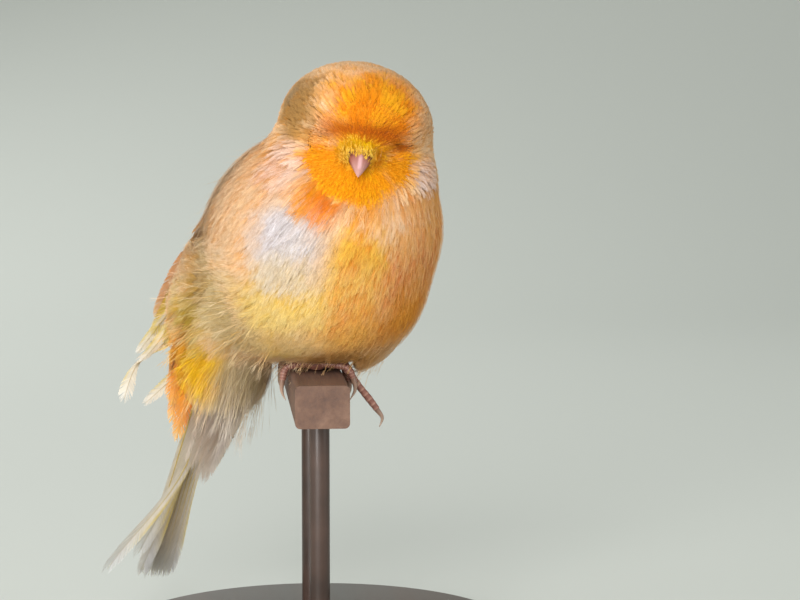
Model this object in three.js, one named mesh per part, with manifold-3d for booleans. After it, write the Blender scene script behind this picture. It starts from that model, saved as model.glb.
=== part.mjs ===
// A life-size canary asleep on a cut length of square perch, held by a plain display stand.
// Sizes are in millimetres. +Z is up, +Y runs back along the perch and +X goes across it.
// The origin is the centre of the stand's underside. The bird is built in its own directions,
// u forwards, v to its left and w up from the top of the perch, and turned into place.

import * as THREE from "three";
import { mergeVertices } from "three/addons/utils/BufferGeometryUtils.js";
import Module from "manifold-3d";

const wasm = await Module();
wasm.setup();

const V = (x, y, z) => new THREE.Vector3(x, y, z);
const rad = THREE.MathUtils.degToRad;
const { lerp, clamp, smoothstep } = THREE.MathUtils;

// Driving dimensions
const GAP = 0.3; // left between pieces that touch
const PERCH = { width: 9.5, height: 7.5, front: -26, back: 36, corner: 0.9 };
const STAND = { radius: 38, thickness: 5, rodRadius: 1.8, rods: [-15, 18], socket: 3 };
const TAIL_DROP = 46.5; // from the top of the perch down to the tail's tips
const TAIL_CLEARANCE = 2;
const PERCH_TOP = STAND.thickness + TAIL_CLEARANCE + TAIL_DROP;
const BODY_TURN = 42; // degrees that the bird faces round from +X towards -Y

// The bird's own directions, turned into the part's frame
const turn = new THREE.Quaternion().setFromAxisAngle(V(0, 0, 1), -rad(BODY_TURN));
const dir = (u, v, w) => V(u, v, w).applyQuaternion(turn);
const at = (u, v, w) => dir(u, v, w).add(V(0, 0, PERCH_TOP));
const curveOf = (line) => new THREE.CatmullRomCurve3(line.map((place) => at(...place)));

// The head looks over the bird's right shoulder, with its bill sunk on the breast
const HEAD = { at: at(10.4, 0.2, 43.3), yaw: -95, pitch: 20, roll: -10 };
const headTurn = new THREE.Quaternion()
  .setFromAxisAngle(V(0, 0, 1), rad(HEAD.yaw))
  .multiply(new THREE.Quaternion().setFromAxisAngle(V(0, 1, 0), rad(HEAD.pitch)))
  .multiply(new THREE.Quaternion().setFromAxisAngle(V(1, 0, 0), rad(HEAD.roll)));
const headDir = (f, l, t) => V(f, l, t).applyQuaternion(headTurn);
const inHead = (f, l, t) => headDir(f, l, t).add(HEAD.at);

// The plumage's outer surface is one smooth field of rounded masses: place, half sizes and
// a lean in degrees about the axis across the bird
const bodyMass = (place, size, lean = 0) => ({
  centre: at(...place),
  size: V(...size),
  back: turn
    .clone()
    .multiply(new THREE.Quaternion().setFromAxisAngle(V(0, 1, 0), rad(lean)))
    .invert(),
});
const headMass = (place, size) => ({
  centre: inHead(...place),
  size: V(...size),
  back: headTurn.clone().invert(),
});
const MASSES = [
  bodyMass([0.5, 0, 22], [21, 21.5, 21.5]), // body
  bodyMass([5, 0.5, 27], [18, 19.5, 16]), // breast
  bodyMass([2, 0, 13.5], [17, 17.4, 13]), // belly
  bodyMass([-13, 0, 15], [12.5, 15, 18], 35), // back
  bodyMass([-19, 0, 8], [10, 11.5, 12], 20), // rump
  bodyMass([-22, 0, 0], [9.5, 9, 12], 22), // vent
  bodyMass([6, 0, 35], [15, 15, 10]), // neck
  headMass([-1, -0.8, 0.3], [13, 13.9, 11.7]), // skull
  headMass([4.6, 0, 5.4], [8, 10.4, 6.6]), // forehead and brow
  headMass([3.6, 7, -6.6], [8.2, 7.6, 6.2]), // left cheek
  headMass([3.6, -6.6, -6], [8.2, 7.2, 6.2]), // right cheek
  headMass([7, 0, 0.6], [4.4, 3.8, 3]), // feathers round the bill
];
const BLEND = 4; // how softly the masses run together
const HOLLOW_BLEND = 2;
const HOLLOWS = [-1, 1].map((side) => headMass([11, side * 7.8, 1.5], [3.6, 3, 1.5]));

const scratch = new THREE.Vector3();
function massDistance(mass, point) {
  const p = scratch.copy(point).sub(mass.centre).applyQuaternion(mass.back).divide(mass.size);
  const k = p.length();
  return (k * (k - 1)) / Math.max(p.divide(mass.size).length(), 1e-6);
}

function softMin(a, b, blend) {
  const h = Math.max(blend - Math.abs(a - b), 0) / blend;
  return Math.min(a, b) - (h * h * blend) / 4;
}

// The belly rests on the toes, clear of the perch and the feet
const FOOT_ROOM = { halfWidth: 8, top: PERCH_TOP + 3, corner: 1.6 };
function footRoom(point) {
  const across = Math.abs(point.x) - FOOT_ROOM.halfWidth + FOOT_ROOM.corner;
  const up = point.z - FOOT_ROOM.top + FOOT_ROOM.corner;
  const outside = Math.hypot(Math.max(across, 0), Math.max(up, 0));
  return Math.min(Math.max(across, up), 0) + outside - FOOT_ROOM.corner;
}

// Negative inside the plumage, and about the distance in millimetres outside it
function plumage(point) {
  const whole = MASSES.reduce((d, mass) => softMin(d, massDistance(mass, point), BLEND), 1e3);
  const rooms = [...HOLLOWS.map((mass) => massDistance(mass, point)), footRoom(point)];
  return rooms.reduce((d, room) => -softMin(-d, room, HOLLOW_BLEND), whole);
}

function outwards(point, field = plumage, step = 0.2) {
  const slope = ["x", "y", "z"].map((axis) => {
    const ahead = point.clone();
    const behind = point.clone();
    ahead[axis] += step;
    behind[axis] -= step;
    return field(ahead) - field(behind);
  });
  return V(...slope).normalize();
}

// Solids and meshes
function toSolid(geometry) {
  const bare = geometry.clone();
  for (const name of Object.keys(bare.attributes)) if (name !== "position") bare.deleteAttribute(name);
  const merged = mergeVertices(bare, 1e-4);
  return new wasm.Manifold(
    new wasm.Mesh({
      numProp: 3,
      vertProperties: new Float32Array(merged.getAttribute("position").array),
      triVerts: new Uint32Array(merged.index.array),
    }),
  );
}

function toGeometry(solid) {
  const { vertProperties, triVerts } = solid.getMesh();
  const geometry = new THREE.BufferGeometry();
  geometry.setAttribute("position", new THREE.BufferAttribute(new Float32Array(vertProperties), 3));
  geometry.setIndex(new THREE.BufferAttribute(new Uint32Array(triVerts), 1));
  geometry.computeVertexNormals();
  return geometry;
}

const join = (solids) => solids.reduce((all, one) => all.add(one));
const cut = (solid, knives) => knives.reduce((left, knife) => left.subtract(knife), solid);
const largest = (solid) => solid.decompose().sort((a, b) => b.volume() - a.volume())[0];

function closedGeometry(points, faces) {
  const geometry = new THREE.BufferGeometry().setFromPoints(points);
  geometry.setIndex(faces);
  return geometry;
}

// A ball whose surface is pushed out along its rays to where a field crosses a level. The rays
// crowd together on the side that gather points to.
function rayShell(centre, detail, field, gather = V(0, 0, 0), level = 0, reach = 60) {
  const ball = toGeometry(toSolid(new THREE.IcosahedronGeometry(1, detail)));
  const place = ball.getAttribute("position");
  for (let i = 0; i < place.count; i++) {
    const ray = V(0, 0, 0).fromBufferAttribute(place, i).add(gather).normalize();
    let near = 0;
    while (near < reach && field(centre.clone().addScaledVector(ray, near + 1)) < level) near += 1;
    let far = near + 1;
    for (let k = 0; k < 18; k++) {
      const middle = (near + far) / 2;
      if (field(centre.clone().addScaledVector(ray, middle)) < level) near = middle;
      else far = middle;
    }
    const p = centre.clone().addScaledVector(ray, near);
    place.setXYZ(i, p.x, p.y, p.z);
  }
  return toSolid(ball);
}

// Everything on the side of a plane that its normal points to, as a large box
function halfSpace(point, normal, size = 200) {
  const box = new THREE.BoxGeometry(size, size, size).translate(0, 0, size / 2);
  const tip = new THREE.Quaternion().setFromUnitVectors(V(0, 0, 1), normal.clone().normalize());
  return toSolid(box.applyQuaternion(tip).translate(point.x, point.y, point.z));
}

// A closed plate of rows by columns. place(along 0..1, across -1..1, face -1 or 1) gives each point.
function plate(rows, columns, place) {
  const points = [];
  const faces = [];
  const width = columns + 1;
  const index = (i, j, face) => (face > 0 ? (rows + 1) * width : 0) + i * width + j;
  for (const face of [-1, 1])
    for (let i = 0; i <= rows; i++)
      for (let j = 0; j <= columns; j++) points.push(place(i / rows, (2 * j) / columns - 1, face));
  const quad = (a, b, c, d) => faces.push(a, b, c, a, c, d);
  for (let i = 0; i < rows; i++)
    for (let j = 0; j < columns; j++) {
      quad(index(i, j, 1), index(i + 1, j, 1), index(i + 1, j + 1, 1), index(i, j + 1, 1));
      const [a, b, c, d] = [[0, 0], [1, 0], [1, 1], [0, 1]].map(([x, y]) => index(i + x, j + y, -1));
      faces.push(a, c, b, a, d, c);
    }
  for (let i = 0; i < rows; i++) {
    quad(index(i, 0, -1), index(i + 1, 0, -1), index(i + 1, 0, 1), index(i, 0, 1));
    quad(index(i + 1, columns, -1), index(i, columns, -1), index(i, columns, 1), index(i + 1, columns, 1));
  }
  for (let j = 0; j < columns; j++) {
    quad(index(0, j + 1, -1), index(0, j, -1), index(0, j, 1), index(0, j + 1, 1));
    quad(index(rows, j, -1), index(rows, j + 1, -1), index(rows, j + 1, 1), index(rows, j, 1));
  }
  const solid = toSolid(closedGeometry(points, faces));
  return solid.volume() < 0 ? toSolid(closedGeometry(points, faces.reverse())) : solid;
}

// A round limb along a curve, from one share of its length to another. radius(share) is its half width.
function limb(curve, radius, { from = 0, to = 1, rings = 8, sides = 8 } = {}) {
  const points = [];
  const faces = [];
  let side = V(0, 1, 0);
  for (let i = 0; i <= rings; i++) {
    const share = lerp(from, to, i / rings);
    const ahead = curve.getTangentAt(share);
    side = side.clone().addScaledVector(ahead, -side.dot(ahead)).normalize();
    const upwards = ahead.clone().cross(side);
    for (let j = 0; j < sides; j++) {
      const angle = (2 * Math.PI * j) / sides;
      const r = radius(share);
      points.push(
        curve
          .getPointAt(share)
          .addScaledVector(side, r * Math.cos(angle))
          .addScaledVector(upwards, r * Math.sin(angle)),
      );
    }
  }
  const start = points.push(curve.getPointAt(from)) - 1;
  const end = points.push(curve.getPointAt(to)) - 1;
  for (let i = 0; i < rings; i++)
    for (let j = 0; j < sides; j++) {
      const a = i * sides + j;
      const b = i * sides + ((j + 1) % sides);
      faces.push(a, b, b + sides, a, b + sides, a + sides);
    }
  for (let j = 0; j < sides; j++) {
    faces.push(start, (j + 1) % sides, j);
    faces.push(end, rings * sides + j, rings * sides + ((j + 1) % sides));
  }
  const solid = toSolid(closedGeometry(points, faces));
  return solid.volume() < 0 ? toSolid(closedGeometry(points, faces.reverse())) : solid;
}

const ellipsoid = (centre, size, turned, detail = 4) => {
  const ball = new THREE.IcosahedronGeometry(1, detail).scale(...size).applyQuaternion(turned);
  return toSolid(ball.translate(centre.x, centre.y, centre.z));
};

// Colours and finishes
const paint = (color, roughness = 0.8) =>
  new THREE.MeshStandardMaterial({ color, roughness, metalness: 0 });
const MATERIALS = {
  face: paint(0xf2a127),
  plumage: paint(0xefc083),
  feather: paint(0xe6dcd0, 0.6),
  bill: paint(0xdcb0b6, 0.4),
  lid: paint(0xb07a4a, 0.6),
  leg: paint(0xb5786c, 0.55),
  claw: paint(0x6e5646, 0.35),
  perch: paint(0xb98a62),
  stand: paint(0x3a2a20, 0.5),
};

const group = new THREE.Group();
function addNode(name, solid, material) {
  const mesh = new THREE.Mesh(toGeometry(largest(solid)), material);
  mesh.name = name;
  group.add(mesh);
}

// Perch and stand
function perchSolid(grow = 0) {
  const [w, h, r] = [PERCH.width / 2 + grow, PERCH.height / 2 + grow, PERCH.corner];
  const outline = new THREE.Shape();
  const corners = [[w - r, r - h, -90], [w - r, h - r, 0], [r - w, h - r, 90], [r - w, r - h, 180]];
  corners.forEach(([x, y, from]) => outline.absarc(x, y, r, rad(from), rad(from + 90), false));
  const depth = PERCH.back - PERCH.front;
  const bar = new THREE.ExtrudeGeometry(outline, { depth, bevelEnabled: false, curveSegments: 3 });
  return toSolid(bar.rotateX(Math.PI / 2).translate(0, PERCH.back, PERCH_TOP - PERCH.height / 2));
}

function rodSolid(y, grow = 0, reach = 0) {
  const foot = STAND.thickness - STAND.socket + GAP - reach;
  const head = PERCH_TOP - PERCH.height + STAND.socket - GAP + reach;
  const radius = STAND.rodRadius + grow;
  const rod = new THREE.CylinderGeometry(radius, radius, head - foot, 20);
  return toSolid(rod.rotateX(Math.PI / 2).translate(0, y, (foot + head) / 2));
}

function baseSolid() {
  const { radius: r, thickness: t } = STAND;
  const profile = [[0, 0], [r - 0.6, 0], [r, 0.6], [r, t - 1.4], [r - 0.5, t - 0.4], [r - 1.4, t], [0, t]];
  const disc = new THREE.LatheGeometry(profile.map(([x, y]) => new THREE.Vector2(x, y)), 36);
  return toSolid(disc.rotateX(Math.PI / 2));
}

const sockets = STAND.rods.map((y) => rodSolid(y, 0.15, GAP));
addNode("perch", cut(perchSolid(), sockets), MATERIALS.perch);
addNode("stand_base", cut(baseSolid(), sockets), MATERIALS.stand);
addNode("stand_rod_front", rodSolid(STAND.rods[0]), MATERIALS.stand);
addNode("stand_rod_back", rodSolid(STAND.rods[1]), MATERIALS.stand);

// Feet: the toes of each foot wrap the perch, and each claw goes on along its toe's line
const FOOT = { right: { y: -5 }, left: { y: 7.5 } };
const PAD = { height: 1.3, size: [2.1, 2, 1.3] };
const TOES = {
  right: {
    hind: {
      path: [[-0.8, 0, 1.5], [-3.4, 0, 1.25], [-5.5, -0.1, 0.7], [-6.2, -0.2, -1.6]],
      claw: [[-6.3, -0.2, -3.6], [-5.6, -0.2, -5.4]],
    },
    inner: {
      path: [[0.8, 0.7, 1.5], [3.4, 1.6, 1.25], [5.5, 2.2, 0.6], [6.1, 2.5, -2.2]],
      claw: [[6.2, 2.6, -4], [5.6, 2.6, -5.6]],
    },
    middle: {
      path: [[0.8, 0, 1.5], [4.2, 0, 1.4], [7.3, 0.1, -2.4], [11, 0.2, -7.2]],
      claw: [[12, 0.2, -8.8], [11.4, 0.2, -10.6]],
    },
    outer: {
      path: [[0.8, -0.7, 1.5], [3.4, -1.5, 1.25], [5.5, -1.9, 0.7], [6.5, -2, -1.2]],
      claw: [[6.9, -2, -3.2], [5.9, -2, -5.2]],
    },
  },
  left: {
    hind: {
      path: [[-0.8, 0, 1.5], [-3.4, 0, 1.25], [-5.5, 0.1, 0.7], [-6.1, 0.2, -1.8]],
      claw: [[-6.2, 0.2, -3.8], [-5.5, 0.2, -5.6]],
    },
    inner: {
      path: [[0.8, -0.7, 1.5], [3.4, -1.7, 1.25], [5.5, -2.2, 0.6], [6.1, -2.4, -2]],
      claw: [[6.2, -2.4, -3.8], [5.6, -2.4, -5.5]],
    },
    middle: {
      path: [[0.8, 0, 1.5], [4, 0, 1.3], [5.7, 0, 0.4], [6.3, 0, -4.4]],
      claw: [[6.3, 0, -6.4], [5.4, 0, -8]],
    },
    outer: {
      path: [[0.8, 0.7, 1.5], [3.4, 1.7, 1.25], [5.5, 2.3, 0.6], [6.1, 2.5, -2.4]],
      claw: [[6.2, 2.5, -4.2], [5.5, 2.5, -5.8]],
    },
  },
};
const TOE_RADIUS = 0.74;
const CLAW_RADIUS = 0.5;

const footPlace = (side) => ([x, y, z]) => V(x, y + FOOT[side].y, z + PERCH_TOP);

// The toe and its claw share one curve, parted where the claw grows out
function toeCurve(side, toe) {
  const place = footPlace(side);
  const { path, claw } = TOES[side][toe];
  const curve = new THREE.CatmullRomCurve3([...path, ...claw].map(place), false, "centripetal");
  const clawLength = new THREE.CatmullRomCurve3([path.at(-1), ...claw].map(place)).getLength();
  return { curve, parting: 1 - clawLength / curve.getLength() };
}

const PHALANGES = 3;
function toeSolid(side, toe) {
  const { curve, parting } = toeCurve(side, toe);
  const radius = (share) => {
    const along = share / parting;
    const pads = 0.06 * Math.cos(2 * Math.PI * PHALANGES * along);
    return TOE_RADIUS * lerp(1.05, 0.8, along) * (1 - pads);
  };
  return limb(curve, radius, { to: parting, rings: 9, sides: 6 });
}

function clawSolid(side, toe) {
  const { curve, parting } = toeCurve(side, toe);
  const start = parting + GAP / curve.getLength();
  const radius = (share) => lerp(CLAW_RADIUS, 0.12, (share - start) / (1 - start));
  return limb(curve, radius, { from: start, rings: 5, sides: 6 });
}

const padSolid = (side) =>
  ellipsoid(V(0, FOOT[side].y, PERCH_TOP + PAD.height), PAD.size, new THREE.Quaternion(), 2);

// Shins rise from the feet into the belly feathers
const SHIN = { radius: 0.95, lean: [-1.6, 0, 5] };
function shinSolid(side, grow = 0) {
  const foot = V(-0.3, FOOT[side].y, PERCH_TOP + PAD.height);
  const knee = foot.clone().add(V(...SHIN.lean));
  return limb(new THREE.LineCurve3(foot, knee), () => SHIN.radius + grow, { rings: 1, sides: 9 });
}

for (const side of ["right", "left"]) {
  const toes = Object.keys(TOES[side]);
  const leg = join([padSolid(side), shinSolid(side), ...toes.map((toe) => toeSolid(side, toe))]);
  addNode(`leg_${side}`, leg.subtract(perchSolid(GAP)), MATERIALS.leg);
  toes.forEach((toe) => addNode(`claw_${side}_${toe}`, clawSolid(side, toe), MATERIALS.claw));
}

// Body, parted by thin cuts across the neck
const CENTRE = { torso: at(-2, 0, 19), rump: at(-20, 0, 1), neck: at(6, 0, 33), head: inHead(0, 0, 0) };
const NECK_CUTS = [
  { point: at(5, 0, 28.5), normal: dir(0.3, 0.05, 1) },
  { point: inHead(0, 0, -8.8), normal: headDir(0, 0.1, 1) },
];
const above = ({ point, normal }) =>
  halfSpace(point.clone().addScaledVector(normal.clone().normalize(), GAP / 2), normal);
const below = ({ point, normal }) => above({ point, normal: normal.clone().negate() });
const torsoShell = rayShell(CENTRE.torso, 11, plumage).intersect(below(NECK_CUTS[0]));
const rumpShell = rayShell(CENTRE.rump, 6, plumage);
const neckShell = rayShell(CENTRE.neck, 8, plumage)
  .intersect(above(NECK_CUTS[0]))
  .intersect(below(NECK_CUTS[1]));
const faceWay = headDir(0.45, 0, 0);
const headShell = rayShell(CENTRE.head, 10, plumage, faceWay).intersect(above(NECK_CUTS[1]));

// Bill: an upper and a lower half, each a tapered hood along the bill's own line
const BILL = { root: [9, 0.2, 0.7], slope: 9, length: 9.2, width: 3.3, upper: 3, lower: 2.4 };
const billDip = new THREE.Quaternion().setFromAxisAngle(V(0, 1, 0), rad(BILL.slope));
const billTurn = headTurn.clone().multiply(billDip);
const inBill = (f, l, t) => V(f, l, t).applyQuaternion(billTurn).add(inHead(...BILL.root));
const BILL_SIDES = 8;
function billHalf(height, length, grow = 0) {
  const way = Math.sign(height);
  return plate(7, BILL_SIDES, (along, across, face) => {
    const taper = Math.pow(1 - Math.pow(along, 1.25), 0.9) * 0.97 + 0.03;
    const width = BILL.width * taper + grow;
    const angle = (across * Math.PI) / 2;
    const dip = -0.9 * along * along;
    const rise = face > 0 ? way * (Math.abs(height) * taper + grow) * Math.cos(angle) : 0;
    const seam = (way * GAP) / 2 - way * grow;
    return inBill(along * (length + grow), width * Math.sin(angle), dip + seam + rise);
  });
}
const billUpper = billHalf(BILL.upper, BILL.length);
const billLower = billHalf(-BILL.lower, BILL.length * 0.86);
const billRoom = [billHalf(BILL.upper, BILL.length, GAP), billHalf(-BILL.lower, BILL.length * 0.86, GAP)];
const NOSTRIL = { place: [4.1, 1.05, 1.25], size: [0.55, 0.4, 0.32] };
const nostrils = [-1, 1].map((side) => {
  const [f, l, t] = NOSTRIL.place;
  return ellipsoid(inBill(f, side * l, t), NOSTRIL.size, billTurn, 1);
});
addNode("bill_upper", cut(billUpper, nostrils), MATERIALS.bill);
addNode("bill_lower", billLower, MATERIALS.bill);

// Closed eyes: a lidded dome on each side of the face
const EYE = { place: [7.2, 7.3, 1.5], radius: 2.1 };
const eyeSolid = (side, grow = 0) =>
  ellipsoid(
    inHead(EYE.place[0], side * EYE.place[1], EYE.place[2]),
    [EYE.radius + grow, EYE.radius + grow, EYE.radius * 0.9 + grow],
    headTurn,
    3,
  );
const eyeRoom = [-1, 1].map((side) => eyeSolid(side, GAP));

// The lids close along a groove, which dips a little towards the bill
const LID_LINE = { turns: [-70, -35, 0, 35, 70], rise: 0.5, sag: 0.35, groove: 0.2 };
function lidGroove(side) {
  const centre = inHead(EYE.place[0], side * EYE.place[1], EYE.place[2]);
  const points = LID_LINE.turns.map((turned) => {
    const round = rad(55 + turned);
    const lift = LID_LINE.rise - LID_LINE.sag * Math.cos(rad(turned));
    const out = headDir(Math.cos(round), side * Math.sin(round), lift / EYE.radius);
    return centre.clone().addScaledVector(out.normalize(), EYE.radius);
  });
  return limb(new THREE.CatmullRomCurve3(points), () => LID_LINE.groove, { rings: 6, sides: 4 });
}
addNode("eye_left", eyeSolid(1).subtract(lidGroove(1)), MATERIALS.lid);
addNode("eye_right", eyeSolid(-1).subtract(lidGroove(-1)), MATERIALS.lid);
addNode("head", cut(headShell, [...billRoom, ...eyeRoom]), MATERIALS.face);

// Wings lie folded along a curved chart on the body: millimetres back along the wing, across it
// towards the back of the bird, and out from the body. Past the rump the chart leaves the body.
const WING = {
  line: [
    [-9.5, 17.3, 27],
    [-15.5, 15.2, 22.3],
    [-21.5, 12.5, 16],
    [-27.5, 9.5, 10],
    [-34, 7, 5.5],
    [-40, 5, 2],
  ],
  depth: [-4.8, -1.6], // from the front of the wing to where it lies free
  leaves: [22, 36],
  slant: 0.3, // rise towards the back of the bird, for each millimetre across
};

function press(point, level) {
  for (let i = 0; i < 4; i++) point.addScaledVector(outwards(point), level - plumage(point));
  return point;
}

function wingChart(side) {
  const line = curveOf(WING.line.map(([u, v, w]) => [u, side * v, w]));
  const length = line.getLength();
  const sheet = (along, across) => {
    const share = clamp(along / length, 0, 1);
    const ahead = line.getTangentAt(share);
    const raw = line.getPointAt(share).addScaledVector(ahead, along - share * length);
    const backwards = outwards(raw).cross(ahead).multiplyScalar(side).normalize();
    raw.addScaledVector(backwards, across);
    const free = smoothstep(along, ...WING.leaves);
    return press(raw.clone(), lerp(...WING.depth, smoothstep(along, 0, 16))).lerp(raw, free);
  };
  return (along, across, out) => {
    const middle = sheet(along, across);
    const ahead = sheet(along + 0.5, across).sub(middle);
    const over = sheet(along, across + 0.5).sub(middle);
    return middle.addScaledVector(ahead.cross(over).normalize(), side * (out + WING.slant * across));
  };
}

// A flat chart along a curve, with across pointing to one side of it
const curveChart = (curve, across) => (along, over, out) => {
  const share = clamp(along / curve.getLength(), 0, 1);
  const ahead = curve.getTangentAt(share);
  const side = across.clone().addScaledVector(ahead, -across.dot(ahead)).normalize();
  return curve
    .getPointAt(share)
    .addScaledVector(side, over)
    .addScaledVector(ahead.cross(side), out);
};

// A feather is a thin blade on a chart: root and tip are [along, across]. It tilts so that it lies
// over its neighbour on one side and under the other, and takes up its tilt as it leaves its root.
// Its heights are given at root and tip, and stray bows its tip sideways.
const VANE = {
  stations: [0, 0.14, 0.34, 0.62, 0.84, 0.94, 1],
  widths: [0.42, 0.75, 1, 1, 0.86, 0.6, 0.16],
  thick: 0.5,
};
function vane(chart, { root, tip, half, out, tilt = 0, stray = 0, widths = VANE.widths }) {
  return plate(VANE.stations.length - 1, 1, (share, across, face) => {
    const i = Math.round(share * (VANE.stations.length - 1));
    const t = VANE.stations[i];
    const w = half * widths[i] * across;
    const curl = smoothstep(t, 0.35, 1) * t;
    const height = lerp(...out, t) - tilt * smoothstep(t, 0, 0.3) * w;
    const depth = (face * VANE.thick * (t === 1 ? 0.6 : 1)) / 2;
    return chart(lerp(root[0], tip[0], t), lerp(root[1], tip[1], t) + stray * curl + w, height + depth);
  });
}

// A row of feathers from the one nearest the back to the one nearest the belly
const row = (count, build) => Array.from({ length: count }, (_, k) => build(k / (count - 1), k));

const PRIMARIES = {
  tips: [29, 32.2, 35.4, 38.4, 41.2, 42.6],
  roots: 18.5,
  across: [3.6, -4.4],
  half: 1.2,
  tilt: 0.55,
};
const SECONDARIES = {
  tips: [19.5, 23, 26, 28, 28.8, 28.4, 27.5],
  roots: 5,
  across: [6.4, -4.3],
  half: 1.35,
  tilt: 0.5,
};
const GREATER_COVERTS = {
  tips: [11, 12.5, 13.8, 14.5, 14.5, 14],
  roots: 1,
  across: [5.6, -4.2],
  half: 1.4,
  tilt: 0.35,
};

const tier = (chart, { tips, roots, across, half, tilt }, out, slant = 0.9) =>
  row(tips.length, (share, k) => {
    const place = lerp(...across, share);
    return vane(chart, { root: [roots, place], tip: [tips[k], place * slant], half, tilt, out });
  });

// The arm under the coverts is a thick leaf, stepped down where the feathers leave it
const ARM = { from: -3.5, to: 22.5, middle: 0.7, half: 6.8, under: 1.2, over: [3, 0.8], step: [8.5, 12] };
const roundEnd = (share) => Math.sqrt(Math.max(1 - Math.pow(1 - Math.min(share, 1), 2), 0.06));
function armSolid(chart) {
  return plate(10, 4, (share, across, face) => {
    const along = lerp(ARM.from, ARM.to, share);
    const round = roundEnd(share / 0.16);
    const half = ARM.half * round * lerp(1, 0.76, smoothstep(along, 12, ARM.to));
    const crown = (1 - 0.3 * across ** 4) * lerp(0.5, 1, round);
    const top = lerp(...ARM.over, smoothstep(along, ...ARM.step)) * crown;
    return chart(along, ARM.middle + half * across, face > 0 ? top : -ARM.under);
  });
}

// The right wing lets one long flight feather hang loose, its stem bare as far as the blade
const LOOSE = {
  line: [[-27, -8.8, 8.2], [-31.5, -7.6, 3.4], [-38, -7.8, -1.8], [-41, -8.4, -9]],
  half: 1.5,
  widths: [0.6, 0.4, 0.28, 0.3, 1, 0.95, 0.3],
};
function looseFeather() {
  const curve = curveOf(LOOSE.line);
  const chart = curveChart(curve, V(1, 0, 0.3));
  return vane(chart, { ...LOOSE, root: [0, 0], tip: [curve.getLength(), 0], out: [0, 0] });
}

function wingSolid(side) {
  const chart = charts[side];
  const vanes = [
    ...tier(chart, PRIMARIES, [0, 0]),
    ...tier(chart, SECONDARIES, [1.6, 2]),
    ...tier(chart, GREATER_COVERTS, [2.8, 3.5], 1),
  ];
  if (side === "right") vanes.push(looseFeather());
  return join([armSolid(chart), ...vanes]);
}

// The body gives way to the folded wing and everything outside it
const WING_ROOM = { from: -4.2, to: 42, middle: 1.3, half: 8.6 };
function wingRoomSolid(chart) {
  return plate(16, 5, (share, across, face) => {
    const along = lerp(WING_ROOM.from, WING_ROOM.to, share);
    const half = WING_ROOM.half * roundEnd(share / 0.12) * lerp(1, 0.84, smoothstep(along, 14, 28));
    return chart(along, WING_ROOM.middle + half * across, face > 0 ? 8 : -ARM.under - GAP);
  });
}

const charts = { left: wingChart(1), right: wingChart(-1) };
const wingRoom = Object.values(charts).map(wingRoomSolid);
Object.keys(charts).forEach((side) => addNode(`wing_${side}`, wingSolid(side), MATERIALS.feather));

// Tail: a fan of feathers on a flat chart, along the tail, across it towards the bird's left, and
// out from its upper face
const tailLine = new THREE.LineCurve3(at(-22.8, 0, 3.2), at(-41.8, 0, -44.8));
const tailAhead = tailLine.getTangentAt(0);
const tailChart = (along, across, out) => curveChart(tailLine, dir(0, -1, 0))(along, -across, out);

// The fan's middle pair lies uppermost and each next pair a step lower. From the middle outwards each
// half gives how far along a tip lies, how far out it strays and the feather's half width.
const FAN = {
  roots: 8,
  pitch: { root: 0.2, left: 0.36, right: 0.62 },
  levels: { left: [1.2, 0.4, -0.4, -1.2, -2], right: [2, 0.4, -0.4, -1.2, -2] },
  tilt: 0.12,
  widths: [0.36, 0.44, 0.48, 0.6, 1, 0.84, 0.36],
};
const FAN_TIPS = {
  left: [[53.2, 0, 2.4], [53, 0.4, 1.2], [52.6, 0.7, 1.8], [52.2, 0.9, 2], [51.4, 0.8, 2.1]],
  right: [[52.8, 0.4, 2.4], [51.8, 1.5, 1.3], [49.8, 3, 2.1], [45, 5.8, 2.4], [46.4, 14.2, 2.4]],
};
function fanVane(side, i) {
  const way = side === "left" ? 1 : -1;
  const [tip, stray, half] = FAN_TIPS[side][i];
  const out = FAN.levels[side][i];
  return vane(tailChart, {
    root: [FAN.roots, way * (0.35 + FAN.pitch.root * i)],
    tip: [tip, way * (0.35 + FAN.pitch[side] * i)],
    half,
    out: [out, out],
    tilt: i ? -way * FAN.tilt : 0,
    stray: way * stray,
    widths: FAN.widths,
  });
}

const TAIL_COVERTS = {
  upper: { tips: [15, 18.5, 20.5, 18.5, 15], across: [4.4, -4.4], half: 1.9, out: [5.2, 2.6] },
  under: { tips: [18, 21.5, 23.5, 22, 18.5], across: [4.6, -4.6], half: 2.1, out: [-7.4, -3.8] },
};
const tailCovert = ({ tips, across, half, out }) =>
  row(tips.length, (share, k) => {
    const place = lerp(...across, share);
    const round = Math.sqrt(1 - (place / 8) ** 2);
    const over = 0.6 * (2 - Math.abs(k - 2));
    const heights = out.map((x) => x * round + over * Math.sign(x));
    return vane(tailChart, { root: [0, place], tip: [tips[k], place * 0.62], half, out: heights });
  });

const TAIL_STUMP = { from: 1, to: 17.5 };
const tailStump = plate(6, 4, (share, across, face) => {
  const thick = face > 0 ? lerp(5.4, 2.4, share) : lerp(7.6, 3, share);
  const round = Math.sqrt(1 - 0.75 * across * across);
  const along = lerp(TAIL_STUMP.from, TAIL_STUMP.to, share);
  return tailChart(along, lerp(6, 4, share) * across, face * thick * round);
});
const TAIL_CUT = { point: tailChart(1.5, 0, 0), normal: tailAhead };
const fan = ["left", "right"].flatMap((side) => FAN_TIPS[side].map((_, i) => fanVane(side, i)));
const tailParts = [...fan, ...Object.values(TAIL_COVERTS).flatMap(tailCovert)];
const rumpEnd = join([rumpShell, tailStump]).intersect(above(TAIL_CUT));
const tailFeathers = tailParts.map((part) => part.intersect(above(TAIL_CUT)));
addNode("tail", join([rumpEnd, ...tailFeathers]), MATERIALS.feather);

const shinRoom = ["right", "left"].map((side) => shinSolid(side, GAP));
const torso = cut(torsoShell.intersect(below(TAIL_CUT)), [...wingRoom, ...shinRoom]);
addNode("torso", torso, MATERIALS.plumage);
addNode("neck", cut(neckShell, wingRoom), MATERIALS.plumage);

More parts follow.
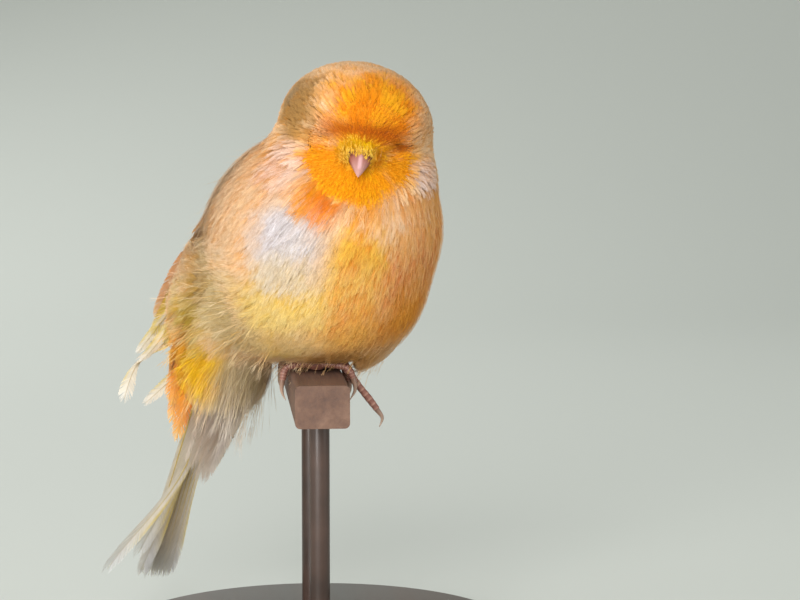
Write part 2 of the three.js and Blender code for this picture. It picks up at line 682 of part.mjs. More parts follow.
export default group;
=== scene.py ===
# %% [markdown]
# # A canary asleep on a cut perch
#
# The bird is an apricot canary, puffed up and dozing, about life size. Its solids come from the
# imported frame. This file dresses them: one soft skin, a coat of thin feathers over it, finer
# flight and tail feathers, closed lids, a horny bill, scaly toes, and a wooden perch and stand.
# The frame is loaded first, because every piece takes its place from it.

import math

import bpy
import numpy as np
from mathutils import Matrix, Vector


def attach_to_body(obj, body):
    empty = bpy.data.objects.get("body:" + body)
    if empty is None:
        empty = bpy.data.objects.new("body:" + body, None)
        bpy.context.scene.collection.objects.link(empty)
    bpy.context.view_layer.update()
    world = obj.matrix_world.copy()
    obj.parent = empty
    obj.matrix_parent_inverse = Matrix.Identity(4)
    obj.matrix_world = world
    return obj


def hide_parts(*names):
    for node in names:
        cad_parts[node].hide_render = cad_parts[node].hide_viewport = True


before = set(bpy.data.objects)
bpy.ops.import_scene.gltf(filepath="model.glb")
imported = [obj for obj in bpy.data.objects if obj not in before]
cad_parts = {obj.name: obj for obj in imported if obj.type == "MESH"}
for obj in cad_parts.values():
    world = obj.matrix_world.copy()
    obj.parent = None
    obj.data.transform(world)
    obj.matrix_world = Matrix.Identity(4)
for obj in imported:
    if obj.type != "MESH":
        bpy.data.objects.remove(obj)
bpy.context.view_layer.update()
MM = 0.001

# %% [markdown]
# ## Camera
#
# A long lens looks a little down on the bird from a short way off, as the picture does. Its place
# could be found by eye, but it is worked out instead: the camera looks 5 degrees to the right and
# 5.2 degrees down, and the right foot on the perch's top falls on a known spot of the picture.

# %% Camera
PERCH_TOP = 53.5
PICTURE_WIDTH = 800
PICTURE_MIDDLE = np.array([400.0, 300.0])
FOCAL_PIXELS = 2200.0
FOOT_PIXEL = np.array([316.5, 371.0])
FOOT_PLACE = np.array([0.0, -5.0, PERCH_TOP])
FOOT_DISTANCE = 400.0
look_right = math.radians(5)
look_down = math.radians(5.2)
level = math.cos(look_down)
ahead = np.array([math.sin(look_right) * level, math.cos(look_right) * level, -math.sin(look_down)])
sideways = np.array([math.cos(look_right), -math.sin(look_right), 0.0])
upwards = np.cross(sideways, ahead)
offset = (FOOT_PIXEL - PICTURE_MIDDLE) / FOCAL_PIXELS
camera_place = FOOT_PLACE - FOOT_DISTANCE * (ahead + offset[0] * sideways - offset[1] * upwards)

bpy.ops.object.camera_add()
camera = bpy.context.object
camera.name = "camera"
camera.data.sensor_width = 36
camera.data.lens = FOCAL_PIXELS / PICTURE_WIDTH * camera.data.sensor_width
camera.data.clip_start = 0.01
turn = Matrix((sideways, upwards, -ahead)).transposed()
camera.matrix_world = Matrix.Translation(Vector(camera_place * MM)) @ turn.to_4x4()
bpy.context.scene.camera = camera
print("camera stands at", np.round(camera_place, 1), "mm, lens", camera.data.lens)

# %% [markdown]
# ## Floor and light
#
# A museum piece is lit softly, so that the feathers keep their own colours. Five wide lamps do it:
# the key high in front, one from the left, a fill from the right, one low in front for the shade
# under the head, and one behind for the edges. The floor is one plain sheet that sweeps up far
# behind the bird, so that no edge shows.

# %% Studio
def deselect_all():
    """Operators act on what is selected, and the frame leaves its solids selected."""
    if bpy.context.object and bpy.context.object.mode != "OBJECT":
        bpy.ops.object.mode_set(mode="OBJECT")
    bpy.ops.object.select_all(action="DESELECT")


def add_lamp(name, place, aim, size, power, colour):
    """A soft rectangular lamp that looks at a point."""
    way = (Vector(aim) - Vector(place)).to_track_quat("-Z", "Y")
    bpy.ops.object.light_add(type="AREA", location=place, rotation=way.to_euler())
    lamp = bpy.context.object
    lamp.name = name
    lamp.data.size = size
    lamp.data.energy = power
    lamp.data.color = colour


BIRD_MIDDLE = (0, 0, 0.08)
deselect_all()
add_lamp("key", (-0.2, -0.75, 0.42), BIRD_MIDDLE, 0.5, 6.4, (1.0, 0.99, 0.97))
add_lamp("left", (-0.8, -0.1, 0.35), BIRD_MIDDLE, 0.5, 1.4, (1.0, 1.0, 1.0))
add_lamp("fill", (0.8, -0.5, 0.3), BIRD_MIDDLE, 0.6, 1.5, (1.0, 0.98, 0.95))
add_lamp("low", (-0.4, -0.65, 0.08), BIRD_MIDDLE, 0.3, 2.8, (1.0, 0.99, 0.97))
add_lamp("back", (-0.3, 0.7, 0.6), BIRD_MIDDLE, 0.5, 3.0, (1.0, 1.0, 1.0))

FLOOR_WIDTH = 5
FLOOR_LENGTH = 4.5
FLOOR_IN_FRONT = 1.8
SWEEP_START = 0.6
SWEEP_RADIUS = 0.7
bpy.ops.mesh.primitive_grid_add(x_subdivisions=2, y_subdivisions=90, size=1)
floor = bpy.context.object
floor.name = "floor"
corners = np.array([v.co for v in floor.data.vertices])
run = (corners[:, 1] + 0.5) * FLOOR_LENGTH - FLOOR_IN_FRONT
angle = np.clip((run - SWEEP_START) / SWEEP_RADIUS, 0, math.pi / 2)
rise = np.maximum(run - SWEEP_START - SWEEP_RADIUS * math.pi / 2, 0)
corners[:, 0] *= FLOOR_WIDTH
corners[:, 1] = np.minimum(run, SWEEP_START) + SWEEP_RADIUS * np.sin(angle)
corners[:, 2] = SWEEP_RADIUS * (1 - np.cos(angle)) + rise
floor.data.vertices.foreach_set("co", corners.ravel())
floor.data.update()
bpy.ops.object.shade_smooth()

world = bpy.data.worlds.new("room")
bpy.context.scene.world = world
world.use_nodes = True
ROOM = (0.80, 0.82, 0.80, 1)
world.node_tree.nodes["Background"].inputs["Color"].default_value = ROOM
world.node_tree.nodes["Background"].inputs["Strength"].default_value = 0.6
bpy.context.scene.view_settings.view_transform = "Standard"
print("studio ready")

# %% [markdown]
# ## How finishes are written
#
# A material is a net of nodes. Written one node at a time it is long, so two small helpers do the
# wiring: `Value` lets maths on a number that changes over the surface be written as an ordinary
# expression, and `Finish.node` makes any other node from its settings and its inputs.

# %% Numbers on a surface
class Value:
    """A socket that carries one number, and adds a Math node for each operation."""

    def __init__(self, finish, socket):
        self.finish = finish
        self.socket = socket

    def math(self, operation, first, second):
        node = self.finish.node("ShaderNodeMath", {"operation": operation}, {0: first, 1: second})
        return Value(self.finish, node.outputs[0])

    def __add__(self, other):
        return self.math("ADD", self, other)

    def __mul__(self, other):
        return self.math("MULTIPLY", self, other)

    def __sub__(self, other):
        return self.math("SUBTRACT", self, other)

    def __rsub__(self, other):
        return self.math("SUBTRACT", other, self)

    def __pow__(self, other):
        return self.math("POWER", self, other)

    __radd__ = __add__
    __rmul__ = __mul__


print("maths on sockets ready")

# %% A finish
class Finish:
    """One material, with its shader and its Object coordinates at hand."""

    def __init__(self, name, roughness=0.6, **constants):
        self.material = bpy.data.materials.new(name)
        self.material.use_nodes = True
        self.tree = self.material.node_tree
        self.shader = self.tree.nodes["Principled BSDF"]
        self.shader.inputs["Roughness"].default_value = roughness
        for socket, value in constants.items():
            self.shader.inputs[socket.replace("_", " ")].default_value = value
        self.place = self.node("ShaderNodeTexCoord", {}, {}).outputs["Object"]

    def node(self, kind, settings, inputs):
        """A node of that kind: its settings first, then the values or links of its sockets."""
        node = self.tree.nodes.new(kind)
        for name, value in settings.items():
            if name == "stops":
                while len(node.color_ramp.elements) < len(value):
                    node.color_ramp.elements.new(1)
                for element, (position, colour) in zip(node.color_ramp.elements, value):
                    element.position = position
                    element.color = colour
            else:
                setattr(node, name, value)
        for name, value in inputs.items():
            self.set(node.inputs[name], value)
        return node

    def set(self, socket, value):
        """Links a socket to another, or gives it a plain value."""
        value = value.socket if isinstance(value, Value) else value
        if isinstance(value, bpy.types.NodeSocket):
            self.tree.links.new(value, socket)
        else:
            socket.default_value = value

    def noise(self, scale, detail=4.0, stretch=(1, 1, 1)):
        """Cloudy noise in metres, stretched along the axes, as a Value about 0.5."""
        mapping = self.node("ShaderNodeMapping", {}, {"Vector": self.place, "Scale": stretch})
        inputs = {"Vector": mapping.outputs[0], "Scale": scale, "Detail": detail, "Roughness": 0.55}
        return Value(self, self.node("ShaderNodeTexNoise", {}, inputs).outputs["Fac"])

    def ramp(self, factor, stops):
        """Colours along a number."""
        return self.node("ShaderNodeValToRGB", {"stops": stops}, {"Fac": factor}).outputs["Color"]

    def mix(self, factor, first, second, blend="MIX"):
        """Two colours mixed by a number."""
        settings = {"data_type": "RGBA", "blend_type": blend}
        return self.node("ShaderNodeMix", settings, {0: factor, 6: first, 7: second}).outputs[2]

    def paint(self, **sockets):
        """Feeds the shader, such as paint(Base_Color=..., Roughness=...)."""
        for name, value in sockets.items():
            self.set(self.shader.inputs[name.replace("_", " ")], value)

    def let_light_through(self, share, tint):
        """Thin sheets also show a share of the light that falls on their far side."""
        glow = self.node("ShaderNodeBsdfTranslucent", {}, {"Color": rgba(tint)})
        both = {0: share, 1: self.shader.outputs[0], 2: glow.outputs[0]}
        mixed = self.node("ShaderNodeMixShader", {}, both)
        self.set(self.tree.nodes["Material Output"].inputs["Surface"], mixed.outputs[0])

    def bump(self, height, distance):
        """Raises the surface by a height in 0..1 times a distance in metres."""
        bump = self.node("ShaderNodeBump", {}, {"Height": height, "Distance": distance})
        self.paint(Normal=bump.outputs["Normal"])


print("finish helper ready")

# %% Colours, and the floor's finish
def colour(code):
    """A colour as seen, such as "f29a12", in the linear numbers that the shader wants."""
    parts = np.array([int(code[i : i + 2], 16) / 255 for i in (0, 2, 4)])
    return np.where(parts <= 0.04045, parts / 12.92, ((parts + 0.055) / 1.055) ** 2.4)


def rgba(code):
    """The same with a full alpha, for sockets."""
    return (*colour(code), 1.0)


floor_finish = Finish("floor_paint", roughness=0.9)
floor_finish.paint(Base_Color=rgba("c4c8c2"))
floor.data.materials.append(floor_finish.material)
print("floor painted with", floor_finish.material.name)

# %% [markdown]
# ## The bird's shape as a field
#
# The solids were blown out to one smooth field of rounded masses. The same field is written again
# here, because it tells three things at any point: how far inside the plumage it is, which way is
# outwards, and where a feather's stem has to run to lie along the body. The solids' faces could be
# asked instead, but a formula is smooth and quick. The numbers are the ones that made the solids, in
# millimetres, in the bird's and the head's own directions. Only the eye hollows are shallower here,
# because the coat fills them.

# %% The bird's directions
def turned(axis, degrees):
    """A turn about one axis."""
    return np.array(Matrix.Rotation(math.radians(degrees), 3, axis))


BODY_TURN = turned("Z", -42)
HEAD_TURN = turned("Z", -95) @ turned("Y", 20) @ turned("X", -10)


def at(*place):
    """From the bird's directions (forward, left, up from the perch) to the frame's."""
    return np.asarray(place, float) @ BODY_TURN.T + [0, 0, PERCH_TOP]


HEAD_PLACE = at(10.4, 0.2, 43.3)


def in_head(*place):
    """From the head's directions (forward, left, up from its middle) to the frame's."""
    return np.stack(place, -1).astype(float) @ HEAD_TURN.T + HEAD_PLACE


def to_bird(points):
    """From the frame's directions to the bird's."""
    return (points - [0, 0, PERCH_TOP]) @ BODY_TURN


def to_head(points):
    """From the frame's directions to the head's."""
    return (points - HEAD_PLACE) @ HEAD_TURN


print("middle of the head:", np.round(HEAD_PLACE, 1), "mm")

# %% The field of masses
BIRD_MASSES = [
    # middle, half sizes, degrees that it leans forward
    ((0.5, 0, 22), (21, 21.5, 21.5), 0),
    ((5, 0.5, 27), (18, 19.5, 16), 0),
    ((2, 0, 13.5), (17, 17.4, 13), 0),
    ((-13, 0, 15), (12.5, 15, 18), 35),
    ((-19, 0, 8), (10, 11.5, 12), 20),
    ((-22, 0, 0), (9.5, 9, 12), 22),
    ((6, 0, 35), (15, 15, 10), 0),
]
HEAD_MASSES = [
    ((-1, -0.8, 0.3), (13, 13.9, 11.7)),
    ((4.6, 0, 5.4), (8, 10.4, 6.6)),
    ((3.6, 7, -6.6), (8.2, 7.6, 6.2)),
    ((3.6, -6.6, -6), (8.2, 7.2, 6.2)),
    ((7, 0, 0.6), (4.4, 3.8, 3)),
]
EYE_HOLLOWS = [((12.4, side * 7.8, 1.6), (2.2, 2.4, 1.0)) for side in (-1, 1)]
masses = [(at(*p), BODY_TURN @ turned("Y", lean), np.array(size)) for p, size, lean in BIRD_MASSES]
masses += [(in_head(*p), HEAD_TURN, np.array(size)) for p, size in HEAD_MASSES]
hollows = [(in_head(*p), HEAD_TURN, np.array(size)) for p, size in EYE_HOLLOWS]
print("masses:", len(masses), "hollows:", len(hollows))

# %% How far outside the plumage a point is
SOFT_JOIN = 4.0
SOFT_HOLLOW = 2.0


def mass_distance(points, mass):
    """About how many millimetres outside one mass a point lies."""
    middle, way, size = mass
    p = (points - middle) @ way / size
    k = np.linalg.norm(p, axis=-1)
    return k * (k - 1) / np.maximum(np.linalg.norm(p / size, axis=-1), 1e-6)


def soft_least(a, b, width):
    """The lesser of two distances, rounded where they are nearly the same."""
    h = np.maximum(width - np.abs(a - b), 0) / width
    return np.minimum(a, b) - h * h * width / 4


def foot_room(points, half_width=8.0, top=PERCH_TOP + 3, corner=1.6):
    """The belly is held off the perch and the toes."""
    across = np.abs(points[..., 0]) - half_width + corner
    up = points[..., 2] - top + corner
    outside = np.hypot(np.maximum(across, 0), np.maximum(up, 0))
    return np.minimum(np.maximum(across, up), 0) + outside - corner


def plumage(points):
    """Millimetres outside the plumage, negative inside."""
    whole = np.full(points.shape[:-1], 1e3)
    for mass in masses:
        whole = soft_least(whole, mass_distance(points, mass), SOFT_JOIN)
    for room in [mass_distance(points, hollow) for hollow in hollows] + [foot_room(points)]:
        whole = -soft_least(-whole, room, SOFT_HOLLOW)
    return whole


print("the middle of the head is", round(-float(plumage(HEAD_PLACE[None])[0]), 1), "mm inside")

# %% Ways out of the plumage
def unit(vectors):
    """Vectors of length one."""
    return vectors / np.maximum(np.linalg.norm(vectors, axis=-1, keepdims=True), 1e-9)


CORNERS = np.array([[1, 1, 1], [1, -1, -1], [-1, 1, -1], [-1, -1, 1]], float)


def outwards(points, step=0.2):
    """The way out, from the field at four corners round each point."""
    return unit(sum(corner * plumage(points + corner * step)[..., None] for corner in CORNERS))


def press(points, depth, rounds=3):
    """Moves points straight out or in until they lie at a depth of the field."""
    for _ in range(rounds):
        points = points + outwards(points) * (depth - plumage(points))[..., None]
    return points


def smooth(x, low, high):
    """A soft step from 0 at the low value to 1 at the high one."""
    t = np.clip((np.asarray(x, float) - low) / (high - low), 0, 1)
    return t * t * (3 - 2 * t)


def blend(a, b, share):
    """The value at a share of the way from a to b."""
    return a + (b - a) * share


print("the way out of the crown:", np.round(outwards(in_head(0, 0, 12)[None])[0], 2))

# %% [markdown]
# ## Markings
#
# The bird is a mosaic of apricot, orange, saffron, cream and white. On the real bird each feather
# has one of a few pigments and a pale, frosted tip. So a marking is a soft-edged patch with three
# colours: most feathers, the flecks among them, and the tips. Markings could be painted on an
# unwrap, but a rule in space can be asked by skin and coat alike. A few patches are not pigment but
# painted shade: the right half of the back, a band over the brow, the head's right side, the dent
# round the left eye and the corners of the mouth.

# %% Patches
PATCHES = [
    # frame, middle, half sizes, soft edge, most feathers, flecks, tips
    # painted shade: the right half of the back is a darker copy of the left half below, for the shade on
    # that side
    ("bird", (-13, -6, 26), (15, 17, 15), 0.5, "d0b48e", "d49c56", "e2d2bc"),
    ("bird", (-13, 8, 24), (15, 17, 15), 0.5, "e8b983", "ec9f4a", "f0d4b6"),
    ("bird", (21, 4, 20), (7, 15, 14), 0.4, "f5b058", "e07000", "f8ca94"),
    ("bird", (20, -9, 29), (7, 8, 5), 0.5, "facc9c", "f8b050", "fce2c6"),
    ("bird", (18.8, -11, 21.6), (5.5, 6.5, 5.4), 0.5, "fcc240", "ee8c00", "fdcc60"),
    ("bird", (17, -11, 16), (7, 7, 6), 0.5, "f9c250", "ea8c0c", "fbd488"),
    ("bird", (15, -9, 8), (8, 9, 5), 0.5, "f3b048", "e07e08", "f7c878"),
    ("bird", (19, 1, 10), (7, 9, 7), 0.9, "e2901c", "c46400", "f0ac48"),
    ("bird", (6, -18, 13), (10, 7, 7), 0.5, "f0cc68", "f3c430", "f8e4a8"),
    ("bird", (4, -15, 5), (11, 7, 4), 0.5, "dfb468", "dcae40", "eed4a2"),
    ("bird", (-10, -15, 12), (10, 8, 12), 0.5, "ccb07a", "c8a050", "ead8ae"),
    ("bird", (12, -6, 2.4), (9, 9, 3), 0.5, "e0a456", "c88c3c", "ecc084"),
    ("bird", (9, -19.5, 25), (8, 6, 7.5), 0.6, "d6d2da", "dcd0cc", "e4e0e6"),
    ("bird", (8, -19, 18.5), (8, 6, 4), 0.6, "e2d0b4", "e8cb90", "ece2d2"),
    ("bird", (9.6, -17.9, 32.8), (2.8, 2.6, 1.9), 0.5, "f4ac50", "f09c30", "f6c890"),
    ("bird", (12.3, -17.4, 30.7), (3, 2.6, 2.3), 0.4, "f49c14", "f08e10", "f6b450"),
    ("bird", (14.8, -16.4, 29), (2.8, 3, 2.3), 0.4, "f08a1c", "ec7c10", "f6b070"),
    ("bird", (-26, -8, 0), (5, 8, 9), 0.5, "ec9a10", "f09000", "f5c050"),
    ("bird", (-19.5, -9.5, -1.5), (6, 6, 7), 0.4, "f2b400", "fac600", "fad630"),
    ("bird", (-19.5, -13, 9), (4, 4, 8), 0.5, "d0b058", "c4a428", "e0d0a0"),
    ("bird", (-20, 8, 2), (7, 6, 7), 0.4, "e9b728", "efc330", "f3d675"),
    ("bird", (-27, 0, 8), (6, 9, 9), 0.5, "e69a2c", "f0ac34", "efc888"),
    ("bird", (-19, 0, -12), (10, 9, 7), 0.5, "e6d8c8", "dcc8aa", "f1e9e0"),
    ("bird", (-13.5, -4, -4.5), (7, 8, 6.5), 0.5, "ccb488", "b49c6c", "dcccac"),
    ("head", (-5, 0, 4), (10, 17, 13), 0.4, "d9ac78", "e6a454", "edcca6"),
    ("head", (9, 1.2, 8.2), (8.8, 10, 7.4), 0.4, "e88a00", "f4ac14", "f0a428"),
    ("head", (10.5, -13, -5.5), (6, 5, 6.5), 0.4, "eec8b0", "eca864", "f4e0d6"),
    ("head", (15, -0.6, -3), (6.4, 8.4, 5.4), 0.25, "fca400", "feb600", "fdbe24"),
    ("head", (10.5, 8, -1.2), (5, 4.5, 4), 0.35, "f09c00", "f6ac04", "f6b834"),
    ("head", (8, 13, -3.5), (4.4, 3.2, 4), 0.5, "e6cabe", "e8b68e", "f5e6de"),
    # painted shade: a band of darker orange across the brow, above the eyes
    ("head", (12.4, 0.6, 4.9), (3.6, 9, 2.1), 0.6, "c46600", "b45800", "d88008"),
    ("head", (7, -9, 1), (4, 4, 2), 0.6, "cf8818", "bd7414", "e4a850"),
    # painted shade: the head's right side, and its rim above, are painted darker brown for the shade there
    ("head", (4, -12, 5), (7, 5, 7), 0.6, "a0763e", "a87028", "b89058"),
    ("head", (1, -13.4, 5.5), (1.8, 1.6, 2.6), 0.8, "927650", "7a5c3c", "a88c68"),
    # painted shade: darker orange-brown round the slit of the left eye, in its dent
    ("head", (10, 7.5, 2.1), (2.6, 1.8, 1), 0.6, "c06408", "a85004", "d88420"),
    ("head", (11.5, 0, 0.6), (4, 5.8, 4), 0.3, "ea9c04", "eeae10", "f2bc34"),
    ("head", (11.8, -7.4, -2.4), (4.4, 3.7, 4.2), 0.4, "f29c00", "f6ac04", "f6b83c"),
    ("head", (13.8, -0.4, 1.8), (3.6, 3.4, 2.5), 0.3, "e8b400", "fad000", "f8de70"),
    # painted shade: near-black feathers in the corners of the mouth
    ("head", (10.6, 2.8, -1.2), (1.3, 0.9, 0.9), 0.5, "5a2a0c", "4a2008", "7a4418"),
    ("head", (12.4, -3.1, -0.3), (1.2, 0.8, 0.9), 0.5, "7a4410", "6a380c", "a06a28"),
]
BASE_COLOURS = ("f0c490", "f0ad58", "f7dfc0")
print("patches:", len(PATCHES))

# %% Markings
rng = np.random.default_rng(7)
WAVES = rng.normal(size=(10, 3))
WAVE_STARTS = rng.uniform(0, 2 * np.pi, 10)


def ripple(points, size, shift=0.0):
    """A soft random field from -1 to 1, whose blots are about that many millimetres across."""
    waves = np.sin(points @ WAVES.T * (2.2 / size) + WAVE_STARTS + shift)
    return waves.sum(-1) / 4.5


def markings(points):
    """Three colours for each point: most feathers, flecks and tips."""
    places = {"bird": to_bird(points), "head": to_head(points)}
    edge = 0.16 * ripple(points, 3.0) + 0.1 * ripple(points, 1.2, 2.0)
    colours = [np.tile(colour(code), (len(points), 1)) for code in BASE_COLOURS]
    for where, middle, size, soft, *codes in PATCHES:
        reach = np.linalg.norm((places[where] - middle) / np.array(size), axis=-1) + edge
        share = (1 - smooth(reach, 1 - soft, 1 + soft * 0.6))[:, None]
        colours = [blend(old, colour(code), share) for old, code in zip(colours, codes)]
    return colours


crown = markings(in_head(9, 1, 9)[None])[0][0]
print("most feathers of the crown, in linear colour:", np.round(crown, 2))

# %% [markdown]
# ## Skin
#
# Under the coat lies one closed skin. It could be modelled afresh, but the solids already have the
# true form, so copies of head, neck, body and rump are joined, cut off behind the rump, remeshed
# into one surface without seams, and drawn in by the coat's depth along the field.

# %% Working on meshes
def mesh_points(mesh):
    """A mesh's points in millimetres."""
    points = np.empty(len(mesh.vertices) * 3)
    mesh.vertices.foreach_get("co", points)
    return points.reshape(-1, 3) / MM


def set_mesh_points(mesh, points):
    """Moves a mesh's points to places in millimetres."""
    mesh.vertices.foreach_set("co", (points * MM).astype(np.float32).ravel())
    mesh.update()


def select_only(*pieces):
    """Selects these pieces and nothing else, the first of them active."""
    deselect_all()
    for piece in pieces:
        piece.select_set(True)
    bpy.context.view_layer.objects.active = pieces[0]


def edit_all(operator, **settings):
    """Runs an operator in edit mode on every face of the active piece."""
    bpy.ops.object.mode_set(mode="EDIT")
    bpy.ops.mesh.select_all(action="SELECT")
    operator(**settings)
    bpy.ops.object.mode_set(mode="OBJECT")


def copy_of_node(node, name):
    """A copy of a solid with its loose triangles merged. The solid itself isn't touched."""
    piece = bpy.data.objects[node].copy()
    piece.data = piece.data.copy()
    piece.name = name
    bpy.context.collection.objects.link(piece)
    piece.parent = None
    piece.matrix_world = Matrix.Identity(4)
    piece.hide_render = False
    piece.data.materials.clear()
    select_only(piece)
    edit_all(bpy.ops.mesh.remove_doubles, threshold=1e-6)
    return piece


def remesh(piece, voxel):
    """One even, closed surface over everything in the piece. The voxel is in millimetres."""
    select_only(piece)
    piece.data.remesh_voxel_size = voxel * MM
    piece.data.use_remesh_fix_poles = False
    bpy.ops.object.voxel_remesh()


def soften(piece, rounds, factor=0.5):
    """Smooths a surface with a modifier that is then applied."""
    modifier = piece.modifiers.new("soften", "SMOOTH")
    modifier.iterations = rounds
    modifier.factor = factor
    bpy.ops.object.modifier_apply(modifier=modifier.name)


def unwrap(piece, margin):
    """Lays the faces out flat, as a map for the finish to be baked on."""
    edit_all(bpy.ops.uv.smart_project, angle_limit=math.radians(66), island_margin=margin)
    piece.data.uv_layers[0].name = "OFBake"


print("mesh helpers ready")

# %% Skin
TAIL_FROM = at(-22.8, 0, 3.2)
TAIL_TO = at(-41.8, 0, -44.8)
TAIL_WAY = unit(TAIL_TO - TAIL_FROM)
RUMP_LENGTH = 9
rump = copy_of_node("tail", "rump")
rump_cut = (TAIL_FROM + TAIL_WAY * RUMP_LENGTH) * MM
edit_all(bpy.ops.mesh.bisect, plane_co=rump_cut, plane_no=TAIL_WAY, use_fill=True, clear_outer=True)
flesh = [copy_of_node(node, node + "_flesh") for node in ("head", "neck", "torso")]
select_only(*flesh, rump)
bpy.ops.object.join()
skin = flesh[0]
skin.name = "skin"
SKIN_VOXEL = 0.8
remesh(skin, SKIN_VOXEL)
soften(skin, 6)
COAT_DEPTH = 0.9
FACE_DEPTH = 0.5


def coat_depth(points):
    """The coat is thinnest on the face, round the bill and the eyes."""
    from_middle = np.linalg.norm(points - HEAD_PLACE, axis=-1)
    face = smooth(to_head(points)[..., 0], 4, 10) * smooth(-from_middle, -19, -15)
    return blend(COAT_DEPTH, FACE_DEPTH, face)


skin_points = mesh_points(skin.data)
set_mesh_points(skin.data, press(skin_points, -coat_depth(skin_points), 4))
soften(skin, 2, 0.3)
bpy.ops.object.shade_smooth()
unwrap(skin, 0.004)
print("skin faces:", len(skin.data.polygons))

# %% [markdown]
# ## Colour on the skin
#
# On a real bird down covers the skin, and shows wherever the coat parts. It could be painted with a
# net of nodes, but a colour stored at each point is simpler, and the coat can use the same kind of
# finish. Each piece is then told what it rides on, which solids it stands for, and its material.

# %% Paint the skin
def paint_points(mesh, colours):
    """Stores a colour for each vertex."""
    layer = mesh.color_attributes.new(name="Marking", type="FLOAT_COLOR", domain="POINT")
    values = np.ones((len(mesh.vertices), 4), np.float32)
    values[:, :3] = colours
    layer.data.foreach_set("color", values.ravel())


def marked_finish(name, roughness, shade, grain_scale, **constants):
    """A finish that takes its colour from the markings times a shade factor, and adds a fine grain. A
    factor below 1 is painted shade.
    """
    finish = Finish(name, roughness=roughness, **constants)
    marking = finish.node("ShaderNodeAttribute", {"attribute_name": "Marking"}, {}).outputs["Color"]
    grain = finish.noise(grain_scale, detail=3)
    darker, lighter = [(*[shade * tone] * 3, 1) for tone in (0.92, 1.05)]
    tone = finish.ramp(grain, [(0.25, darker), (0.75, lighter)])
    finish.paint(Base_Color=finish.mix(1.0, marking, tone, "MULTIPLY"))
    return finish


def attach(piece, finish, slot, *nodes):
    """Gives a piece its finish and its body, and hides the solids that it stands for. Its slot is not
    used.
    """
    piece.data.materials.clear()
    piece.data.materials.append(finish.material)
    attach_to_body(piece, "root")
    if nodes:
        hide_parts(*nodes)
    print(piece.name, "faces", len(piece.data.polygons))


skin_points = mesh_points(skin.data)
most, flecks, tips = markings(skin_points)
paint_points(skin.data, blend(most, flecks, 0.3))
# painted shade: the skin is painted at 0.8 of the markings' brightness, as it lies in shade under the coat
skin_finish = marked_finish("downy_skin", 0.9, 0.8, 900)
skin_finish.bump(skin_finish.noise(1500, detail=4), 0.0004)
attach(skin, skin_finish, "plumage_body", "head", "neck", "torso")

# %% [markdown]
# ## Wings: the chart that feathers lie on
#
# A folded wing is a curved sheet pressed against the body. A feather is easiest to draw flat, so a
# chart turns flat numbers (along the wing, across it, outwards) into places on that sheet. The same
# chart made the solid wings.

# %% Curves
def spline(points, count=200):
    """A smooth curve through points, at even steps: its places, its directions and its length."""
    p = np.asarray(points, float)
    p = np.vstack([2 * p[0] - p[1], p, 2 * p[-1] - p[-2]])
    places = []
    for p0, p1, p2, p3 in zip(p, p[1:], p[2:], p[3:]):
        d0, d1, d2 = [math.sqrt(np.linalg.norm(b - a)) for a, b in ((p0, p1), (p1, p2), (p2, p3))]
        m1 = ((p1 - p0) / d0 - (p2 - p0) / (d0 + d1) + (p2 - p1) / d1) * d1
        m2 = ((p2 - p1) / d1 - (p3 - p1) / (d1 + d2) + (p3 - p2) / d2) * d1
        t = np.linspace(0, 1, 60)[:, None]
        cubic = 2 * p1 - 2 * p2 + m1 + m2
        square = -3 * p1 + 3 * p2 - 2 * m1 - m2
        places.append(p1 + m1 * t + square * t**2 + cubic * t**3)
    dense = np.vstack(places)
    run = np.concatenate([[0], np.cumsum(np.linalg.norm(np.diff(dense, axis=0), axis=1))])
    even = np.linspace(0, run[-1], count)
    line = np.stack([np.interp(even, run, dense[:, i]) for i in range(3)], -1)
    return line, unit(np.gradient(line, axis=0)), run[-1]


def along_line(values, share):
    """Values at shares 0..1 of an even curve."""
    position = np.clip(share, 0, 1) * (len(values) - 1)
    first = np.clip(position.astype(int), 0, len(values) - 2)
    return blend(values[first], values[first + 1], (position - first)[..., None])


print("curves ready")

# %% Charts
WING_LINE = [
    # the middle of the folded left wing from front to tip, in the bird's directions
    (-9.5, 17.3, 27),
    (-15.5, 15.2, 22.3),
    (-21.5, 12.5, 16),
    (-27.5, 9.5, 10),
    (-34, 7, 5.5),
    (-40, 5, 2),
]
WING_DEPTH = (-4.8, -1.6)
WING_LEAVES = (22, 36)
WING_SLANT = 0.3


def wing_chart(side):
    """The chart of one wing; side is 1 for the left and -1 for the right."""
    line, ways, length = spline([at(u, side * v, w) for u, v, w in WING_LINE])

    def sheet(along, across):
        share = np.clip(along / length, 0, 1)
        ahead = along_line(ways, share)
        raw = along_line(line, share) + ahead * (along - share * length)[..., None]
        backwards = unit(np.cross(outwards(raw), ahead) * side)
        raw = raw + backwards * across[..., None]
        depth = blend(*WING_DEPTH, smooth(along, 0, 16))
        return blend(press(raw, depth), raw, smooth(along, *WING_LEAVES)[..., None])

    def chart(along, across, out):
        middle = sheet(along, across)
        ahead = sheet(along + 0.5, across) - middle
        over = sheet(along, across + 0.5) - middle
        normal = unit(np.cross(ahead, over)) * side
        return middle + normal * (out + WING_SLANT * across)[..., None]

    return chart


def curve_chart(points, across_way):
    """A flat chart along a curve, with across pointing to one side of it."""
    line, ways, length = spline(points)

    def chart(along, across, out):
        share = np.clip(along / length, 0, 1)
        ahead = along_line(ways, share)
        side = unit(across_way - ahead * (ahead @ across_way)[..., None])
        normal = np.cross(ahead, side)
        beyond = ahead * (along - share * length)[..., None]
        return along_line(line, share) + beyond + side * across[..., None] + normal * out[..., None]

    return chart, length


